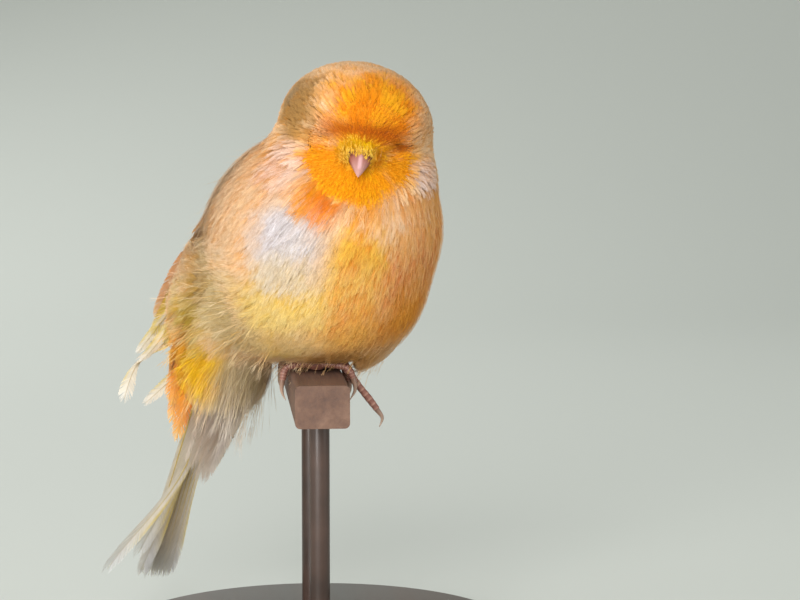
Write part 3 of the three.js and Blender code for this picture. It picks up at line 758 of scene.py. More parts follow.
wing_charts = {"left": wing_chart(1), "right": wing_chart(-1)}
GRID_ALONG = np.arange(-6, 44, 1.0)
GRID_ACROSS = np.arange(-9, 9.1, 1.0)
WING_GRID = np.stack(np.meshgrid(GRID_ALONG, GRID_ACROSS, indexing="ij"), -1).reshape(-1, 2)
wing_grids = {
    side: chart(WING_GRID[:, 0], WING_GRID[:, 1], np.zeros(len(WING_GRID)))
    for side, chart in wing_charts.items()
}
print("wing charts ready")

# %% [markdown]
# ## Where the wings lie
#
# Body feathers grow all round a wing and over its front, so the coat has to know where each wing
# is. A formula that turns the chart round would be hard to find. So the chart is laid out once as a
# grid of points, and the nearest of them gives the answer to a millimetre, which is enough.

# %% Where a point lies on the wings
POINTS_AT_ONCE = 4000


def on_wing(points, side):
    """The nearest (along, across) of the wing's chart, and how far away it is."""
    grid = wing_grids[side]
    nearest = np.empty(len(points), int)
    distance = np.empty(len(points))
    for first in range(0, len(points), POINTS_AT_ONCE):
        batch = slice(first, first + POINTS_AT_ONCE)
        square = ((points[batch][:, None] - grid[None]) ** 2).sum(-1)
        nearest[batch] = square.argmin(1)
        distance[batch] = np.sqrt(square.min(1))
    return WING_GRID[nearest, 0], WING_GRID[nearest, 1], distance


print("grid points of each wing:", len(WING_GRID))

# %% [markdown]
# ## The lie of the coat
#
# Feathers point away from the bill over the head, and from the neck down and back to the tail over
# the body. They could be combed by hand, but a rule gives the same coat each time. Each feather's
# root is a random point of the skin, kept a set distance from its neighbours, closer on the face
# than on the belly. Its stem then steps along the lie, and is pressed back to the field at each
# step, from the skin up to the coat's surface.

# %% Which way feathers point
BILL_ROOT = in_head(12.0, 0.2, 0.4)
TAIL_AIM = at(-30, 0, -16)
FLANK_FROM = at(14, -19, 13)


def head_share(points):
    """1 on the head, falling to 0 down the neck."""
    return 1 - smooth(np.linalg.norm(points - HEAD_PLACE, axis=-1), 12, 19)


def face_share(points):
    """1 round the bill, falling to 0 at the edge of the face."""
    return 1 - smooth(np.linalg.norm(points - BILL_ROOT, axis=-1), 5, 12)


def flank_share(points):
    """The silky flank feathers fan back over the wing."""
    forward, left, up = to_bird(points).T
    side = smooth(-left, 3, 12) * smooth(-forward, -9, 2)
    return side * smooth(up, -4, 4) * (1 - smooth(up, 20, 29))


def lie(points, normals):
    """The direction that a feather rooted here points in, along the surface."""
    body = unit(TAIL_AIM - points)
    head = unit(points - BILL_ROOT)
    way = blend(body, unit(points - FLANK_FROM), 0.75 * flank_share(points)[:, None])
    way = blend(way, head, head_share(points)[:, None])
    return unit(way - normals * (way * normals).sum(-1, keepdims=True))


breast = at(20, 0, 20)[None]
print("feathers of the breast point", np.round(lie(breast, outwards(breast))[0], 2))

# %% Roots of the coat
def skin_samples(count, seed):
    """Random points all over the skin: their places, their spots on its unwrap, and its area."""
    draw = np.random.default_rng(seed)
    mesh = skin.data
    mesh.calc_loop_triangles()
    corners = np.empty(len(mesh.loop_triangles) * 3, int)
    mesh.loop_triangles.foreach_get("vertices", corners)
    loops = np.empty(len(mesh.loop_triangles) * 3, int)
    mesh.loop_triangles.foreach_get("loops", loops)
    uvs = np.empty(len(mesh.loops) * 2)
    mesh.uv_layers["OFBake"].data.foreach_get("uv", uvs)
    points = mesh_points(mesh)[corners.reshape(-1, 3)]
    uvs = uvs.reshape(-1, 2)[loops.reshape(-1, 3)]
    area = np.linalg.norm(np.cross(points[:, 1] - points[:, 0], points[:, 2] - points[:, 0]), axis=1) / 2
    chosen = draw.choice(len(area), count, p=area / area.sum())
    a, b = draw.random((2, count))
    flip = a + b > 1
    a, b = np.where(flip, 1 - a, a), np.where(flip, 1 - b, b)
    weights = np.stack([1 - a - b, a, b], -1)[..., None]
    return (points[chosen] * weights).sum(1), (uvs[chosen] * weights).sum(1), area.sum()


def spaced(points, radius):
    """Keeps points that have no kept neighbour within their own radius."""
    cell = radius.max()
    keys = np.floor(points / cell).astype(int)
    kept = {}
    result = []
    for i, (key, place, r) in enumerate(zip(map(tuple, keys), points, radius)):
        x, y, z = key
        near = []
        for dx in (-1, 0, 1):
            for dy in (-1, 0, 1):
                for dz in (-1, 0, 1):
                    near += kept.get((x + dx, y + dy, z + dz), ())
        if near:
            gaps = points[near] - place
            if (gaps * gaps).sum(1).min() < r * r:
                continue
        kept.setdefault(key, []).append(i)
        result.append(i)
    return np.array(result)


FACE_SPACING = 0.24
HEAD_SPACING = 0.36
BODY_SPACING = 0.6


def spacing(points):
    """Millimetres between the roots of neighbours."""
    wide = blend(BODY_SPACING, HEAD_SPACING, head_share(points))
    return blend(wide, FACE_SPACING, face_share(points)) * 1.0


SAMPLES = 120000
samples, sample_uvs, skin_area = skin_samples(SAMPLES, 11)
chosen = spaced(samples, spacing(samples))
roots = samples[chosen]
root_uvs = sample_uvs[chosen]
print("skin area", round(skin_area), "mm2, roots", len(roots))

# %% [markdown]
# ## Coat
#
# A contour feather is a stem with loose barbs that fan out to a leaf-shaped outline. One feather is
# drawn flat as a template of thin pointed strips, and bent along each stem. Thousands of copies,
# joined in a few meshes, give the streaky softness that a painted surface can't. Filaments and
# bristles come from the same template with fewer barbs. Hair particles could do all this too, but
# they don't survive an export.

# %% One feather, drawn flat
def leaf(share):
    """Half width of a feather's outline along its length, from 0 to 1."""
    share = np.asarray(share, float)
    front = np.sqrt(np.maximum(1 - ((share - 0.6) / 0.42) ** 2, 0.0))
    return np.where(share > 0.6, front, smooth(share, -0.25, 0.6))


def barb_template(pairs, reach):
    """Root, middle and tip of each barb, as shares (along, across). The first is the stem's end."""
    starts = np.linspace(0.06, 0.72, pairs)
    tips = np.minimum(starts + reach, 0.985)
    barbs = [((0.12, 0), (0.6, 0), (1.0, 0))]
    for start, tip in zip(starts, tips):
        for side in (-1, 1):
            wide = side * float(leaf(tip))
            barbs.append(((start, 0.05 * side), (blend(start, tip, 0.5), 0.66 * wide), (tip, wide)))
    return np.array(barbs, float)


print("barbs of a body feather:", len(barb_template(12, 0.6)))

# %% Stems
STEM_STEPS = 4


def grow_stems(roots, low, high, length, swing):
    """Stations along each stem: places, ways out and ways sideways, each (feathers, stations, 3)."""
    normal = outwards(roots)
    way = lie(roots, normal)
    way = unit(way * np.cos(swing)[:, None] + np.cross(normal, way) * np.sin(swing)[:, None])
    place = press(roots, low)
    places, normals, sides = [place], [normal], [np.cross(normal, way)]
    for step in range(1, STEM_STEPS + 1):
        depth = blend(low, high, smooth(step / STEM_STEPS, -0.2, 1))
        onward = press(place + way * (length / STEM_STEPS)[:, None], depth, 2)
        way = unit(onward - place)
        normal = outwards(onward)
        side = unit(np.cross(normal, way))
        place = onward
        places.append(place)
        normals.append(normal)
        sides.append(side)
    return [np.stack(x, 1) for x in (places, normals, sides)]


def free_stems(roots, ways, length, droop):
    """Stems that stand free of the body: they start off in a given way and droop."""
    share = np.linspace(0, 1, STEM_STEPS + 1)[None, :, None]
    ways = unit(ways)[:, None]
    down = np.array([0, 0, -1.0]) * droop
    places = roots[:, None] + (ways * share + down * share**2) * length[:, None, None]
    ahead = unit(ways + 2 * down * share)
    normals = outwards(roots)[:, None]
    normals = unit(normals - ahead * (normals * ahead).sum(-1, keepdims=True))
    return [places, normals, np.cross(normals, ahead)]


print("stations of a stem:", STEM_STEPS + 1)

# %% Bending feathers along their stems
ROUNDING = 0.15
CUPPING = 0.05
BARB_TWIST = 0.006
BARB_POINTS = 5
BARB_TRIANGLES = np.array([(0, 2, 1), (1, 2, 3), (2, 4, 3)])


def bend_feathers(stems, length, half, barb_width, template, draw, ruffle):
    """Bends the flat template along every stem, each barb a little astray.

    Gives places (feathers, points, 3), shares along and across, and the way each point faces.
    """
    count = len(length)
    barbs = len(template)
    x = np.repeat(template[None, :, :, 0], count, 0) * length[:, None, None]
    y = np.repeat(template[None, :, :, 1], count, 0) * half[:, None, None]
    stray = draw.normal(size=(count, barbs)) * ruffle
    x[..., 2] += np.abs(stray) * 0.35 * length[:, None] * 0.3
    y[..., 2] += stray * half[:, None]
    y[..., 1] += stray * half[:, None] * 0.35
    z = np.zeros_like(x)
    z[..., 2] += draw.normal(size=(count, barbs)) * ruffle * half[:, None] * 0.25
    z -= CUPPING * y * y / half[:, None, None]
    run = np.stack([x[..., 2] - x[..., 0], y[..., 2] - y[..., 0]], -1)
    across = unit(np.stack([-run[..., 1], run[..., 0]], -1)) * barb_width[:, None, None] / 2
    corners = []
    for station, wide in ((0, 0.5), (1, 1.0)):
        for edge in (-1, 1):
            corner_x = x[..., station] + edge * wide * across[..., 0]
            corner_y = y[..., station] + edge * wide * across[..., 1]
            corners.append((corner_x, corner_y, z[..., station] + edge * BARB_TWIST))
    corners.append((x[..., 2], y[..., 2], z[..., 2]))
    x, y, z = [np.stack(part, -1).reshape(count, -1) for part in zip(*corners)]
    position = np.clip(x / length[:, None], 0, 1.1) * STEM_STEPS
    first = np.clip(position.astype(int), 0, STEM_STEPS - 1)
    share = (position - first)[..., None]
    rows = np.arange(count)[:, None]
    place, normal, side = [blend(s[rows, first], s[rows, first + 1], share) for s in stems]
    points = place + side * y[..., None] + normal * z[..., None]
    across = y / half[:, None]
    facing = unit(normal + side * (ROUNDING * np.clip(across, -1.3, 1.3))[..., None])
    return points, x / length[:, None], across, facing


print("triangles of a body feather:", len(barb_template(12, 0.6)) * len(BARB_TRIANGLES))

# %% [markdown]
# ## Meshes and finishes for the coat
#
# Feathers could be one object each, but tens of thousands of objects are slow. So all of one kind
# are written as arrays into one mesh, or into a few where it would grow heavy. A real barb is thin
# and lets light through, so its finish also shows some of the light on its far side, in a warm
# tint. Each feather has a small patch of the skin's unwrap to be baked on.

# %% Meshes from arrays
def new_mesh(name, points, triangles, colours, uvs=None, facing=None):
    """One object from arrays: points in millimetres, a colour for each and a spot on the unwrap."""
    mesh = bpy.data.meshes.new(name)
    mesh.vertices.add(len(points))
    mesh.vertices.foreach_set("co", (points * MM).astype(np.float32).ravel())
    mesh.loops.add(triangles.size)
    mesh.loops.foreach_set("vertex_index", triangles.astype(np.int32).ravel())
    mesh.polygons.add(len(triangles))
    mesh.polygons.foreach_set("loop_start", np.arange(0, triangles.size, 3, dtype=np.int32))
    mesh.polygons.foreach_set("use_smooth", np.ones(len(triangles), bool))
    mesh.update(calc_edges=True)
    paint_points(mesh, colours)
    if uvs is not None:
        layer = mesh.uv_layers.new(name="OFBake")
        layer.data.foreach_set("uv", uvs[triangles.ravel()].astype(np.float32).ravel())
    if facing is not None:
        mesh.normals_split_custom_set_from_vertices(facing)
    piece = bpy.data.objects.new(name, mesh)
    bpy.context.collection.objects.link(piece)
    return piece


def barb_finish(name, tint):
    """A dull finish for barbs, with some light in that tint from their far side."""
    finish = marked_finish(name, 0.85, 1.0, 1600, Specular_IOR_Level=0.2)
    finish.let_light_through(0.25, tint)
    return finish


feather_finish = barb_finish("feather_barbs", "f4dcb8")
face_finish = barb_finish("face_barbs", "f4b25c")
print("coat finishes ready")

# %% Colours of the barbs
PALE_BARBS = 0.14
BRIGHTEST = 0.94


def barb_colours(roots, seen, along, frost, barbs, draw):
    """A colour for each point: the feather's own, darker at the root as painted shade, a pale tip, some
    pale barbs and fine streaks.
    """
    count = len(roots)
    most, flecks, tips = markings(seen)
    fleck = smooth(ripple(roots, 1.5, 4.0) + draw.normal(size=count) * 0.35, 0.05, 0.75)[:, None]
    tone = draw.uniform(0.95, 1.04, count)[:, None]
    own = blend(most, flecks, fleck) * tone
    frosted = (frost * draw.uniform(0.7, 1.15, count))[:, None, None]
    pale = smooth(along, 0.45, 1.0)[..., None] * frosted
    paler = (draw.random((count, barbs)) < PALE_BARBS) * draw.uniform(0.2, 0.6, (count, barbs))
    paler = np.repeat(paler, BARB_POINTS, axis=1)[..., None]
    streak = np.repeat(draw.uniform(0.84, 1.1, (count, barbs)), BARB_POINTS, axis=1)[..., None]
    # painted shade: each feather darkens towards its root, where the others overlap it
    depth = blend(0.82, 1.0, smooth(along, 0.1, 0.6))[..., None]
    colours = blend(own[:, None] * depth, tips[:, None], np.maximum(pale, paler))
    return np.minimum(colours * streak, BRIGHTEST)


print("pale barbs in a hundred:", round(PALE_BARBS * 100))

# %% A coat of one kind of feather
DEPTH_STRAY = 0.06
SWING = 0.16
TUFT_PATCH = 0.003
PIECE_TRIANGLES = 180000
coat_counts = []


def join_feathers(name, barbs, height, on_face, *arrays):
    """Writes feathers into as many pieces as keep each one light, the highest roots first."""
    count, per_feather = arrays[0].shape[:2]
    faces = (np.arange(barbs)[:, None, None] * BARB_POINTS + BARB_TRIANGLES).reshape(-1, 3)
    parts = math.ceil(count * len(faces) / PIECE_TRIANGLES)
    order = np.argsort(-height, kind="stable")
    for number, group in enumerate(np.array_split(order, parts)):
        triangles = (np.arange(len(group))[:, None, None] * per_feather + faces).reshape(-1, 3)
        title = f"{name}_{number + 1}" if parts > 1 else name
        points, colours, spots, facing = [part[group].reshape(-1, part.shape[-1]) for part in arrays]
        piece = new_mesh(title, points, triangles, colours, spots, facing)
        if on_face:
            attach(piece, face_finish, "plumage_face")
        else:
            attach(piece, feather_finish, "plumage_body")
    coat_counts.append(count * len(faces))


def add_coat(
    name, roots, uvs, seed, length, half, barb_width, pairs, reach, frost,
    low=0.0, high=0.0, ways=None, droop=0.0, ruffle=0.3, on_face=False,
):
    """A coat of one kind of feather.

    The feathers lie on the body, from one depth of the field at the root to another at the tip, or
    stand off it in the ways that are given.
    """
    draw = np.random.default_rng(seed)
    count = len(roots)

    def varied(value, by):
        return np.broadcast_to(value, count) * draw.uniform(1 - by, 1 + by, count)

    length = varied(length, 0.18)
    half = varied(half, 0.15)
    barb_width = varied(barb_width, 0.15)
    if ways is None:
        low = np.broadcast_to(low, count)
        high = np.broadcast_to(high, count) + draw.normal(size=count) * DEPTH_STRAY
        stems = grow_stems(roots, low, high, length, draw.normal(size=count) * SWING)
    else:
        stems = free_stems(roots, ways, length, droop)
    template = barb_template(pairs, reach)
    points, along, across, facing = bend_feathers(stems, length, half, barb_width, template, draw, ruffle)
    seen = stems[0][:, 3]
    colours = barb_colours(roots, seen, along, frost, len(template), draw)
    patch = np.stack([along - 0.5, across * 0.5], -1) * TUFT_PATCH
    spots = uvs[:, None] + np.clip(patch, -TUFT_PATCH / 2, TUFT_PATCH / 2)
    join_feathers(name, len(template), roots[:, 2], on_face, points, colours, spots, facing)


print("most triangles in one piece:", PIECE_TRIANGLES)

# %% [markdown]
# ## Where the coat leaves room
#
# No body feather grows through the bill, over the slit of the lids, over the bare flight feathers
# or down the tail. Feathers could be cut out of the finished coat, but it is simpler never to plant
# them. A root near an eye is tested a few steps ahead, where its feather would come to lie.

# %% Bill, lids and wings under the coat
EYE_PLACE = (7.2, 7.3, 1.5)
EYE_RADIUS = 2.1
LID_WAY = math.radians(55)
BILL_TURN = HEAD_TURN @ turned("Y", 9)
BILL_AT = in_head(9, 0.2, 0.7)
BILL_LENGTH = 9.2
BILL_DROOP = 0.9


def in_bill(points, grow=0.1):
    """Whether a point lies inside the bill."""
    f, l, t = ((points - BILL_AT) @ BILL_TURN).T
    share = np.clip(f / BILL_LENGTH, 0, 1)
    taper = np.maximum(1 - share**1.25, 0) ** 0.9
    width = 3.3 * taper + grow
    height = np.where(t > 0, 3.0, 2.4) * taper + grow
    round_edge = (l / width) ** 2 + ((t + BILL_DROOP * share**2) / height) ** 2
    return (f > -1) & (f < BILL_LENGTH) & (round_edge < 1)


def lid_middle(side):
    """The middle of a lid; side is 1 for the left eye and -1 for the right."""
    f, l, t = EYE_PLACE
    way = np.array([math.cos(LID_WAY), side * math.sin(LID_WAY), 0.05])
    return in_head(f, side * l, t) + HEAD_TURN @ way * EYE_RADIUS


WING_NEAR = 5.5
WING_BARE_FROM = 7.5


def open_wing(points):
    """Where the wings' own feathers show instead of the coat."""
    along, across, away = on_wing(points, "left")
    bare = (away < WING_NEAR) & (along > WING_BARE_FROM)
    left = bare & (across > -6.6) & (across < 6.8)
    along, across, away = on_wing(points, "right")
    edge = blend(2.5, -7.0, smooth(along, 11, 25))
    bare = (away < WING_NEAR) & (along > WING_BARE_FROM)
    return left | (bare & (across > edge))


def wing_lift(points):
    """How far the near wing raises the coat that lies over it."""
    along, across, away = on_wing(points, "right")
    over = (1 - smooth(away, 4, 9)) * (1 - smooth(np.abs(across), 5, 9))
    return 2.0 * over * smooth(along, 0, 12)


LID_SLIT = [(10.6, 6.4, 2.6), (9.6, 7.9, 1.75), (8.8, 9.3, 2.15)]
LID_DEPTH = -0.3
slits = {
    side: press(spline([in_head(f, side * l, t) for f, l, t in LID_SLIT], 60)[0], LID_DEPTH, 4)
    for side in (-1, 1)
}


def from_slit(points, side):
    """Distance to the line where the lids meet."""
    return np.linalg.norm(points[:, None] - slits[side][None], axis=-1).min(1)


print("middle of the left slit:", np.round(slits[1][len(slits[1]) // 2], 1), "mm")

# %% Roots that are left
EYE_REACH = 5
SLIT_ROOM = 0.3
TAIL_BARE = 12
room = open_wing(roots) | in_bill(roots)
ways = lie(roots, outwards(roots))
for side in (-1, 1):
    near = np.linalg.norm(roots - lid_middle(side), axis=1) < EYE_REACH
    for ahead in (0.0, 0.6, 1.2, 1.8):
        places = press(roots[near] + ways[near] * ahead, 0)
        room[near] |= from_slit(places, side) < SLIT_ROOM
room |= (roots - TAIL_FROM) @ TAIL_WAY > TAIL_BARE
roots, root_uvs = roots[~room], root_uvs[~room]
faces_here, heads_here = face_share(roots), head_share(roots)
is_face = faces_here > 0.5
is_head = ~is_face & (heads_here > 0.45)
is_body = ~is_face & ~is_head
print("face", is_face.sum(), "head", is_head.sum(), "body", is_body.sum())

# %% [markdown]
# ## Growing the coat
#
# Face feathers are short and dense, those of the head longer, and body feathers longest, above all
# on the flank. Over them lie silky filaments. Others hang loose on the flank and under the belly, or
# stand up at the shoulder, and yellow bristles stand round the bill. Each kind could have a model of
# its own, but they differ only in a few numbers, so one function grows them all.

# %% Face, head and body feathers
part = is_face
add_coat(
    "face_feathers", roots[part], root_uvs[part], seed=21, low=-coat_depth(roots[part]), high=0.1,
    length=1.8, half=0.26, barb_width=0.085, pairs=2, reach=0.6, frost=0.3, on_face=True,
)
part = is_head
long = blend(3.4, 2.4, heads_here[part]) * 1.2
low = np.maximum(-coat_depth(roots[part]), -0.45)
add_coat(
    "head_feathers", roots[part], root_uvs[part], seed=22, low=low, high=0.1,
    length=long, half=0.4, barb_width=0.1, pairs=5, reach=0.7, frost=0.5,
)
part = is_body
place = to_bird(roots[part])
flank = smooth(-place[:, 1], 4, 14) * smooth(-place[:, 2], -20, -6)
lift = wing_lift(roots[part])
fringe = smooth(-place[:, 2], -7.5, -3.5) * smooth(place[:, 0], 2, 8)
high = lift + blend(0.05, 0.35, flank) + fringe
add_coat(
    "body_feathers", roots[part], root_uvs[part], seed=23, low=lift - 0.55, high=high,
    length=blend(6.0, 7.6, flank), half=blend(0.85, 1.0, flank), barb_width=0.095,
    pairs=12, reach=0.6, frost=0.6,
)

# %% Filaments
draw = np.random.default_rng(24)


def add_wisps(name, share, lean, **shape):
    """Fine long feathers that stand off the coat here and there."""
    picked = draw.random(len(share)) < share
    base = press(roots[part][picked], 0.0)
    out = outwards(base)
    rise = draw.uniform(*lean, len(base))[:, None]
    stray = draw.normal(size=base.shape) * 0.14
    ways = lie(base, out) + out * rise + stray
    add_coat(name, base, root_uvs[part][picked], ways=ways, reach=0.5, frost=1.0, **shape)


behind = smooth(-place[:, 0], -6, 2)
add_wisps(
    "loose_filaments", 0.4 * flank * behind, (0.0, 0.22), seed=25,
    length=9.5, half=0.8, barb_width=0.065, pairs=2, droop=0.04,
)
standing = smooth(-place[:, 0], 0, 8) * smooth(place[:, 2], 8, 18)
add_wisps(
    "standing_filaments", 0.11 * standing, (0.2, 0.7), seed=27,
    length=5.0, half=0.4, barb_width=0.05, pairs=1, droop=0.05,
)
hanging = smooth(-place[:, 2], -8, -4) * smooth(place[:, 0], -20, -16) * smooth(-place[:, 0], -9, -5)
hanging = hanging * smooth(-place[:, 1], -5, 0)
add_wisps(
    "hanging_filaments", 0.55 * hanging * smooth(place[:, 1], -12, -8), (0.0, 0.25), seed=28,
    length=8.5, half=0.8, barb_width=0.06, pairs=2, droop=0.3,
)
low_belly = smooth(place[:, 0], 4, 9) * smooth(-place[:, 2], -6.5, -3)
add_wisps(
    "belly_filaments", 0.5 * low_belly, (0.0, 0.3), seed=29,
    length=4.5, half=0.5, barb_width=0.07, pairs=2, droop=0.3,
)

picked = draw.random(len(flank)) < 0.9 * (1 - flank)
lay = (lift + fringe)[picked]
add_coat(
    "silky_filaments", roots[part][picked], root_uvs[part][picked], seed=30,
    low=lay - 0.2, high=lay + 0.45, length=6.6, half=0.4, barb_width=0.042,
    pairs=2, reach=0.5, frost=1.0,
)

# %% Bristles round the bill
BRISTLES = 260
angle = draw.uniform(-0.45, math.pi + 0.45, BRISTLES)
out = draw.uniform(2.4, 3.9, BRISTLES)
ahead = draw.uniform(10.5, 12.0, BRISTLES)
bristle_roots = in_head(*np.stack([ahead, np.cos(angle) * out, np.sin(angle) * out * 0.86 + 0.4]))
bristle_roots = press(bristle_roots, -0.3, 4)
bristle_ways = HEAD_TURN @ np.array([1, 0, -0.12]) - 0.45 * unit(bristle_roots - BILL_ROOT)
bristle_ways = bristle_ways + draw.normal(size=(BRISTLES, 3)) * 0.22
gaps = np.linalg.norm(bristle_roots[:, None] - roots[is_face][None], axis=-1)
bristle_uvs = root_uvs[is_face][gaps.argmin(1)]
add_coat(
    "bill_bristles", bristle_roots, bristle_uvs, seed=26, ways=bristle_ways, droop=0.05,
    length=2.4, half=0.3, barb_width=0.075, pairs=2, reach=0.5, frost=0.7, ruffle=0.4, on_face=True,
)
print("coat triangles", sum(coat_counts))

# %% [markdown]
# ## Flight feathers
#
# A flight feather is a stiff shaft with a flat vane on each side. The vane is made of barbs that lie
# edge to edge and part here and there. A card with painted barbs would be lighter, but would have no
# true edge. So each barb is a thin strip that leaves the shaft at a slant and overlaps the next like
# a shingle, all drawn flat and laid on a chart, with the shaft as a tapered rod on top.

# %% Barbs and shaft
VANE_STATIONS = [0, 0.14, 0.34, 0.62, 0.84, 0.94, 1]
VANE_WIDTHS = [0.42, 0.75, 1, 1, 0.86, 0.6, 0.16]
BARB_STATIONS = np.array([0.0, 0.45, 0.85, 1.0])
BARB_THICKNESS = np.array([1.0, 1.1, 1.0, 0.4])
BARB_OVERLAP = 0.64
BARB_SLANT = 1.25
SHAFT_RINGS = 14
SHAFT_RING = [(-1, 0), (0, 1), (1, 0), (0, -0.7)]


def strips(rows, stations):
    """Triangles for rows of quads, whose points come as (rows, stations, 2 edges)."""
    index = np.arange(rows * stations * 2).reshape(rows, stations, 2)
    a, b = index[:, :-1, 0], index[:, :-1, 1]
    c, d = index[:, 1:, 0], index[:, 1:, 1]
    return np.stack([np.stack([a, b, d], -1), np.stack([a, d, c], -1)], 2).reshape(-1, 3)


def vane(lay, span, half, widths, barbs, loose, draw):
    """Barbs on both sides: points, triangles, and each point's share along, share across and tone."""

    def width(share):
        return half * np.interp(share, VANE_STATIONS, widths)

    starts = np.linspace(0.01, 0.93, barbs)
    rows = np.concatenate([starts, starts])
    side = np.concatenate([-np.ones(barbs), np.ones(barbs)])
    slant = width(rows) * BARB_SLANT / span
    tips = np.minimum(rows + slant * (1 + draw.normal(size=len(rows)) * loose * 2), 1.0)
    reach = width(tips) * (1 - np.abs(draw.normal(size=len(rows))) * loose)
    share = rows[:, None] + (tips - rows)[:, None] * BARB_STATIONS**1.15
    across = side[:, None] * reach[:, None] * BARB_STATIONS
    thick = 0.92 / barbs * BARB_OVERLAP * BARB_THICKNESS
    lift = -0.1 * half * (np.abs(across) / half) ** 2
    triangles = strips(*share.shape)
    along = np.clip(np.stack([share - thick, share + thick], -1), 0, 1.01).ravel()
    across = np.repeat(across, 2)
    points = lay(along, across, np.stack([lift - 0.01, lift + 0.01], -1).ravel())
    tone = np.repeat(draw.uniform(0.86, 1.07, len(rows)), 2 * len(BARB_STATIONS))
    return points, triangles, along, across / (half + 1e-6), tone


def shaft_rod(lay, radius):
    """A tapered rod on top of the vane: points, triangles and each point's share along."""
    run = np.linspace(-0.02, 0.97, SHAFT_RINGS)
    thick = blend(radius, radius * 0.2, run)
    points = np.stack([lay(run, thick * x, thick * z + 0.03) for x, z in SHAFT_RING], 1)
    index = np.arange(SHAFT_RINGS * 4).reshape(SHAFT_RINGS, 4)
    around = np.roll(index, -1, axis=1)
    first, second = index[:-1], around[:-1]
    third, fourth = around[1:], index[1:]
    quads = np.stack([first, second, third, first, third, fourth], -1).reshape(-1, 3)
    a, b, c, d = index[-1]
    ends = [(0, 2, 1), (0, 3, 2), (a, b, c), (a, c, d)]
    return points.reshape(-1, 3), np.vstack([quads, ends]), np.repeat(run, 4)


print("rings of a shaft:", SHAFT_RINGS)

# %% One flight feather
def flight_feather(
    chart, draw, root, tip, half, out, barbs, shaft, loose, tilt=0.0, stray=0.0, widths=VANE_WIDTHS
):
    """One feather between two spots of a chart.

    Gives points and triangles, and for each point its share along, its share across from -1 to 1,
    whether it belongs to the shaft, and its tone.
    """
    span = tip[0] - root[0]

    def lay(share, across, lift):
        """From a share of the length, millimetres across and a small lift, to a place."""
        curl = smooth(share, 0.35, 1) * share
        over = blend(root[1], tip[1], share) + stray * curl + across
        height = blend(out[0], out[1], share) - tilt * smooth(share, 0, 0.3) * across + lift
        return chart(root[0] + span * share, over, height)

    points, triangles, along, edge, tone = vane(lay, span, half, widths, barbs, loose, draw)
    rod_points, rod_triangles, rod_along = shaft_rod(lay, shaft)
    is_rod = np.ones(len(rod_points))
    return (
        np.vstack([points, rod_points]),
        np.vstack([triangles, rod_triangles + len(points)]),
        np.concatenate([along, rod_along]),
        np.concatenate([edge, 0 * is_rod]),
        np.concatenate([0 * tone, is_rod]),
        np.concatenate([tone, is_rod]),
    )


print("points of a flight barb:", 2 * len(BARB_STATIONS))

# %% Gathering flight feathers
class Plumes:
    """Gathers flight feathers into one mesh with one colour rule."""

    def __init__(self, seed):
        self.draw = np.random.default_rng(seed)
        self.points = []
        self.triangles = []
        self.colours = []
        self.count = 0

    def add(self, chart, scheme, **shape):
        """A feather on a chart."""
        points, triangles, along, edge, stem, tone = flight_feather(chart, self.draw, **shape)
        self.triangles.append(triangles + self.count)
        self.points.append(points)
        tone = self.draw.uniform(0.95, 1.03) * blend(tone, 1.0, stem)
        self.colours.append(feather_colours(scheme, along, edge, stem) * tone[:, None])
        self.count += len(points)

    def add_stray(self, scheme, line, half, **shape):
        """A feather along a line of its own, in the bird's directions."""
        chart, length = curve_chart([at(*p) for p in line], STRAY_ACROSS)
        self.add(chart, scheme, root=(0, 0), tip=(length, 0), half=half, out=(0, 0), barbs=70, **shape)

    def finish(self, name, *nodes):
        """Makes the piece that stands for those solids."""
        piece = new_mesh(name, *[np.vstack(part) for part in (self.points, self.triangles, self.colours)])
        select_only(piece)
        unwrap(piece, 0.0005)
        attach(piece, vane_finish, "flight_feathers", *nodes)


STRAY_ACROSS = np.array([1, 0, 0.3])
print("stray feathers spread towards", STRAY_ACROSS)

# %% Colours of flight feathers
SCHEMES = {
    # vane, outer edge, tip, shaft
    "tail": ("ebe3da", "dabc10", "d8dce4", "d8c060"),
    "primary": ("e4d9c8", "dcc152", "ece6de", "cdb070"),
    "secondary": ("c4a438", "c09c10", "dcc478", "b08c28"),
    "covert": ("b46c14", "bc6e08", "d09848", "946018"),
    "rump": ("e08a10", "e07a00", "f0b448", "c08020"),
    "vent": ("f4e6de", "ecdccc", "f8eee8", "e6d6c8"),
}
OUTER_EDGE = {"tail": 1, "primary": -1, "secondary": -1, "covert": -1, "rump": 1, "vent": 1}


def feather_colours(scheme, along, edge, stem):
    """A colour for each point, from the vane, its outer edge, its tip and the shaft."""
    vane_colour, rim, tip, shaft = [colour(code) for code in SCHEMES[scheme]]
    strip = smooth(np.abs(edge), 0.3, 0.7) * smooth(edge * OUTER_EDGE[scheme], -0.2, 0.2)
    strip = strip * (1 - smooth(along, 0.75, 1))
    shade = blend(vane_colour, rim, 0.85 * strip[:, None])
    shade = blend(shade, tip, 0.9 * smooth(along, 0.7, 0.98)[:, None])
    bare = stem * blend(1.0, 0.35, smooth(along, 0.4, 1.0))
    return blend(shade, shaft, bare[:, None])


vane_finish = marked_finish("flight_vanes", 0.6, 1.0, 500, Specular_IOR_Level=0.3)
vane_finish.let_light_through(0.35, "f4ecd8")
print("colour schemes:", ", ".join(SCHEMES))

# %% [markdown]
# ## Wings
#
# A folded wing shows its feathers in tiers: coverts over secondaries over primaries. The solids have
# fewer and thicker ones. Here each tier has the nine that a canary shows, spread over the same reach
# of the wing's chart. A few have slipped out at the wing's edge, and lie along lines of their own.

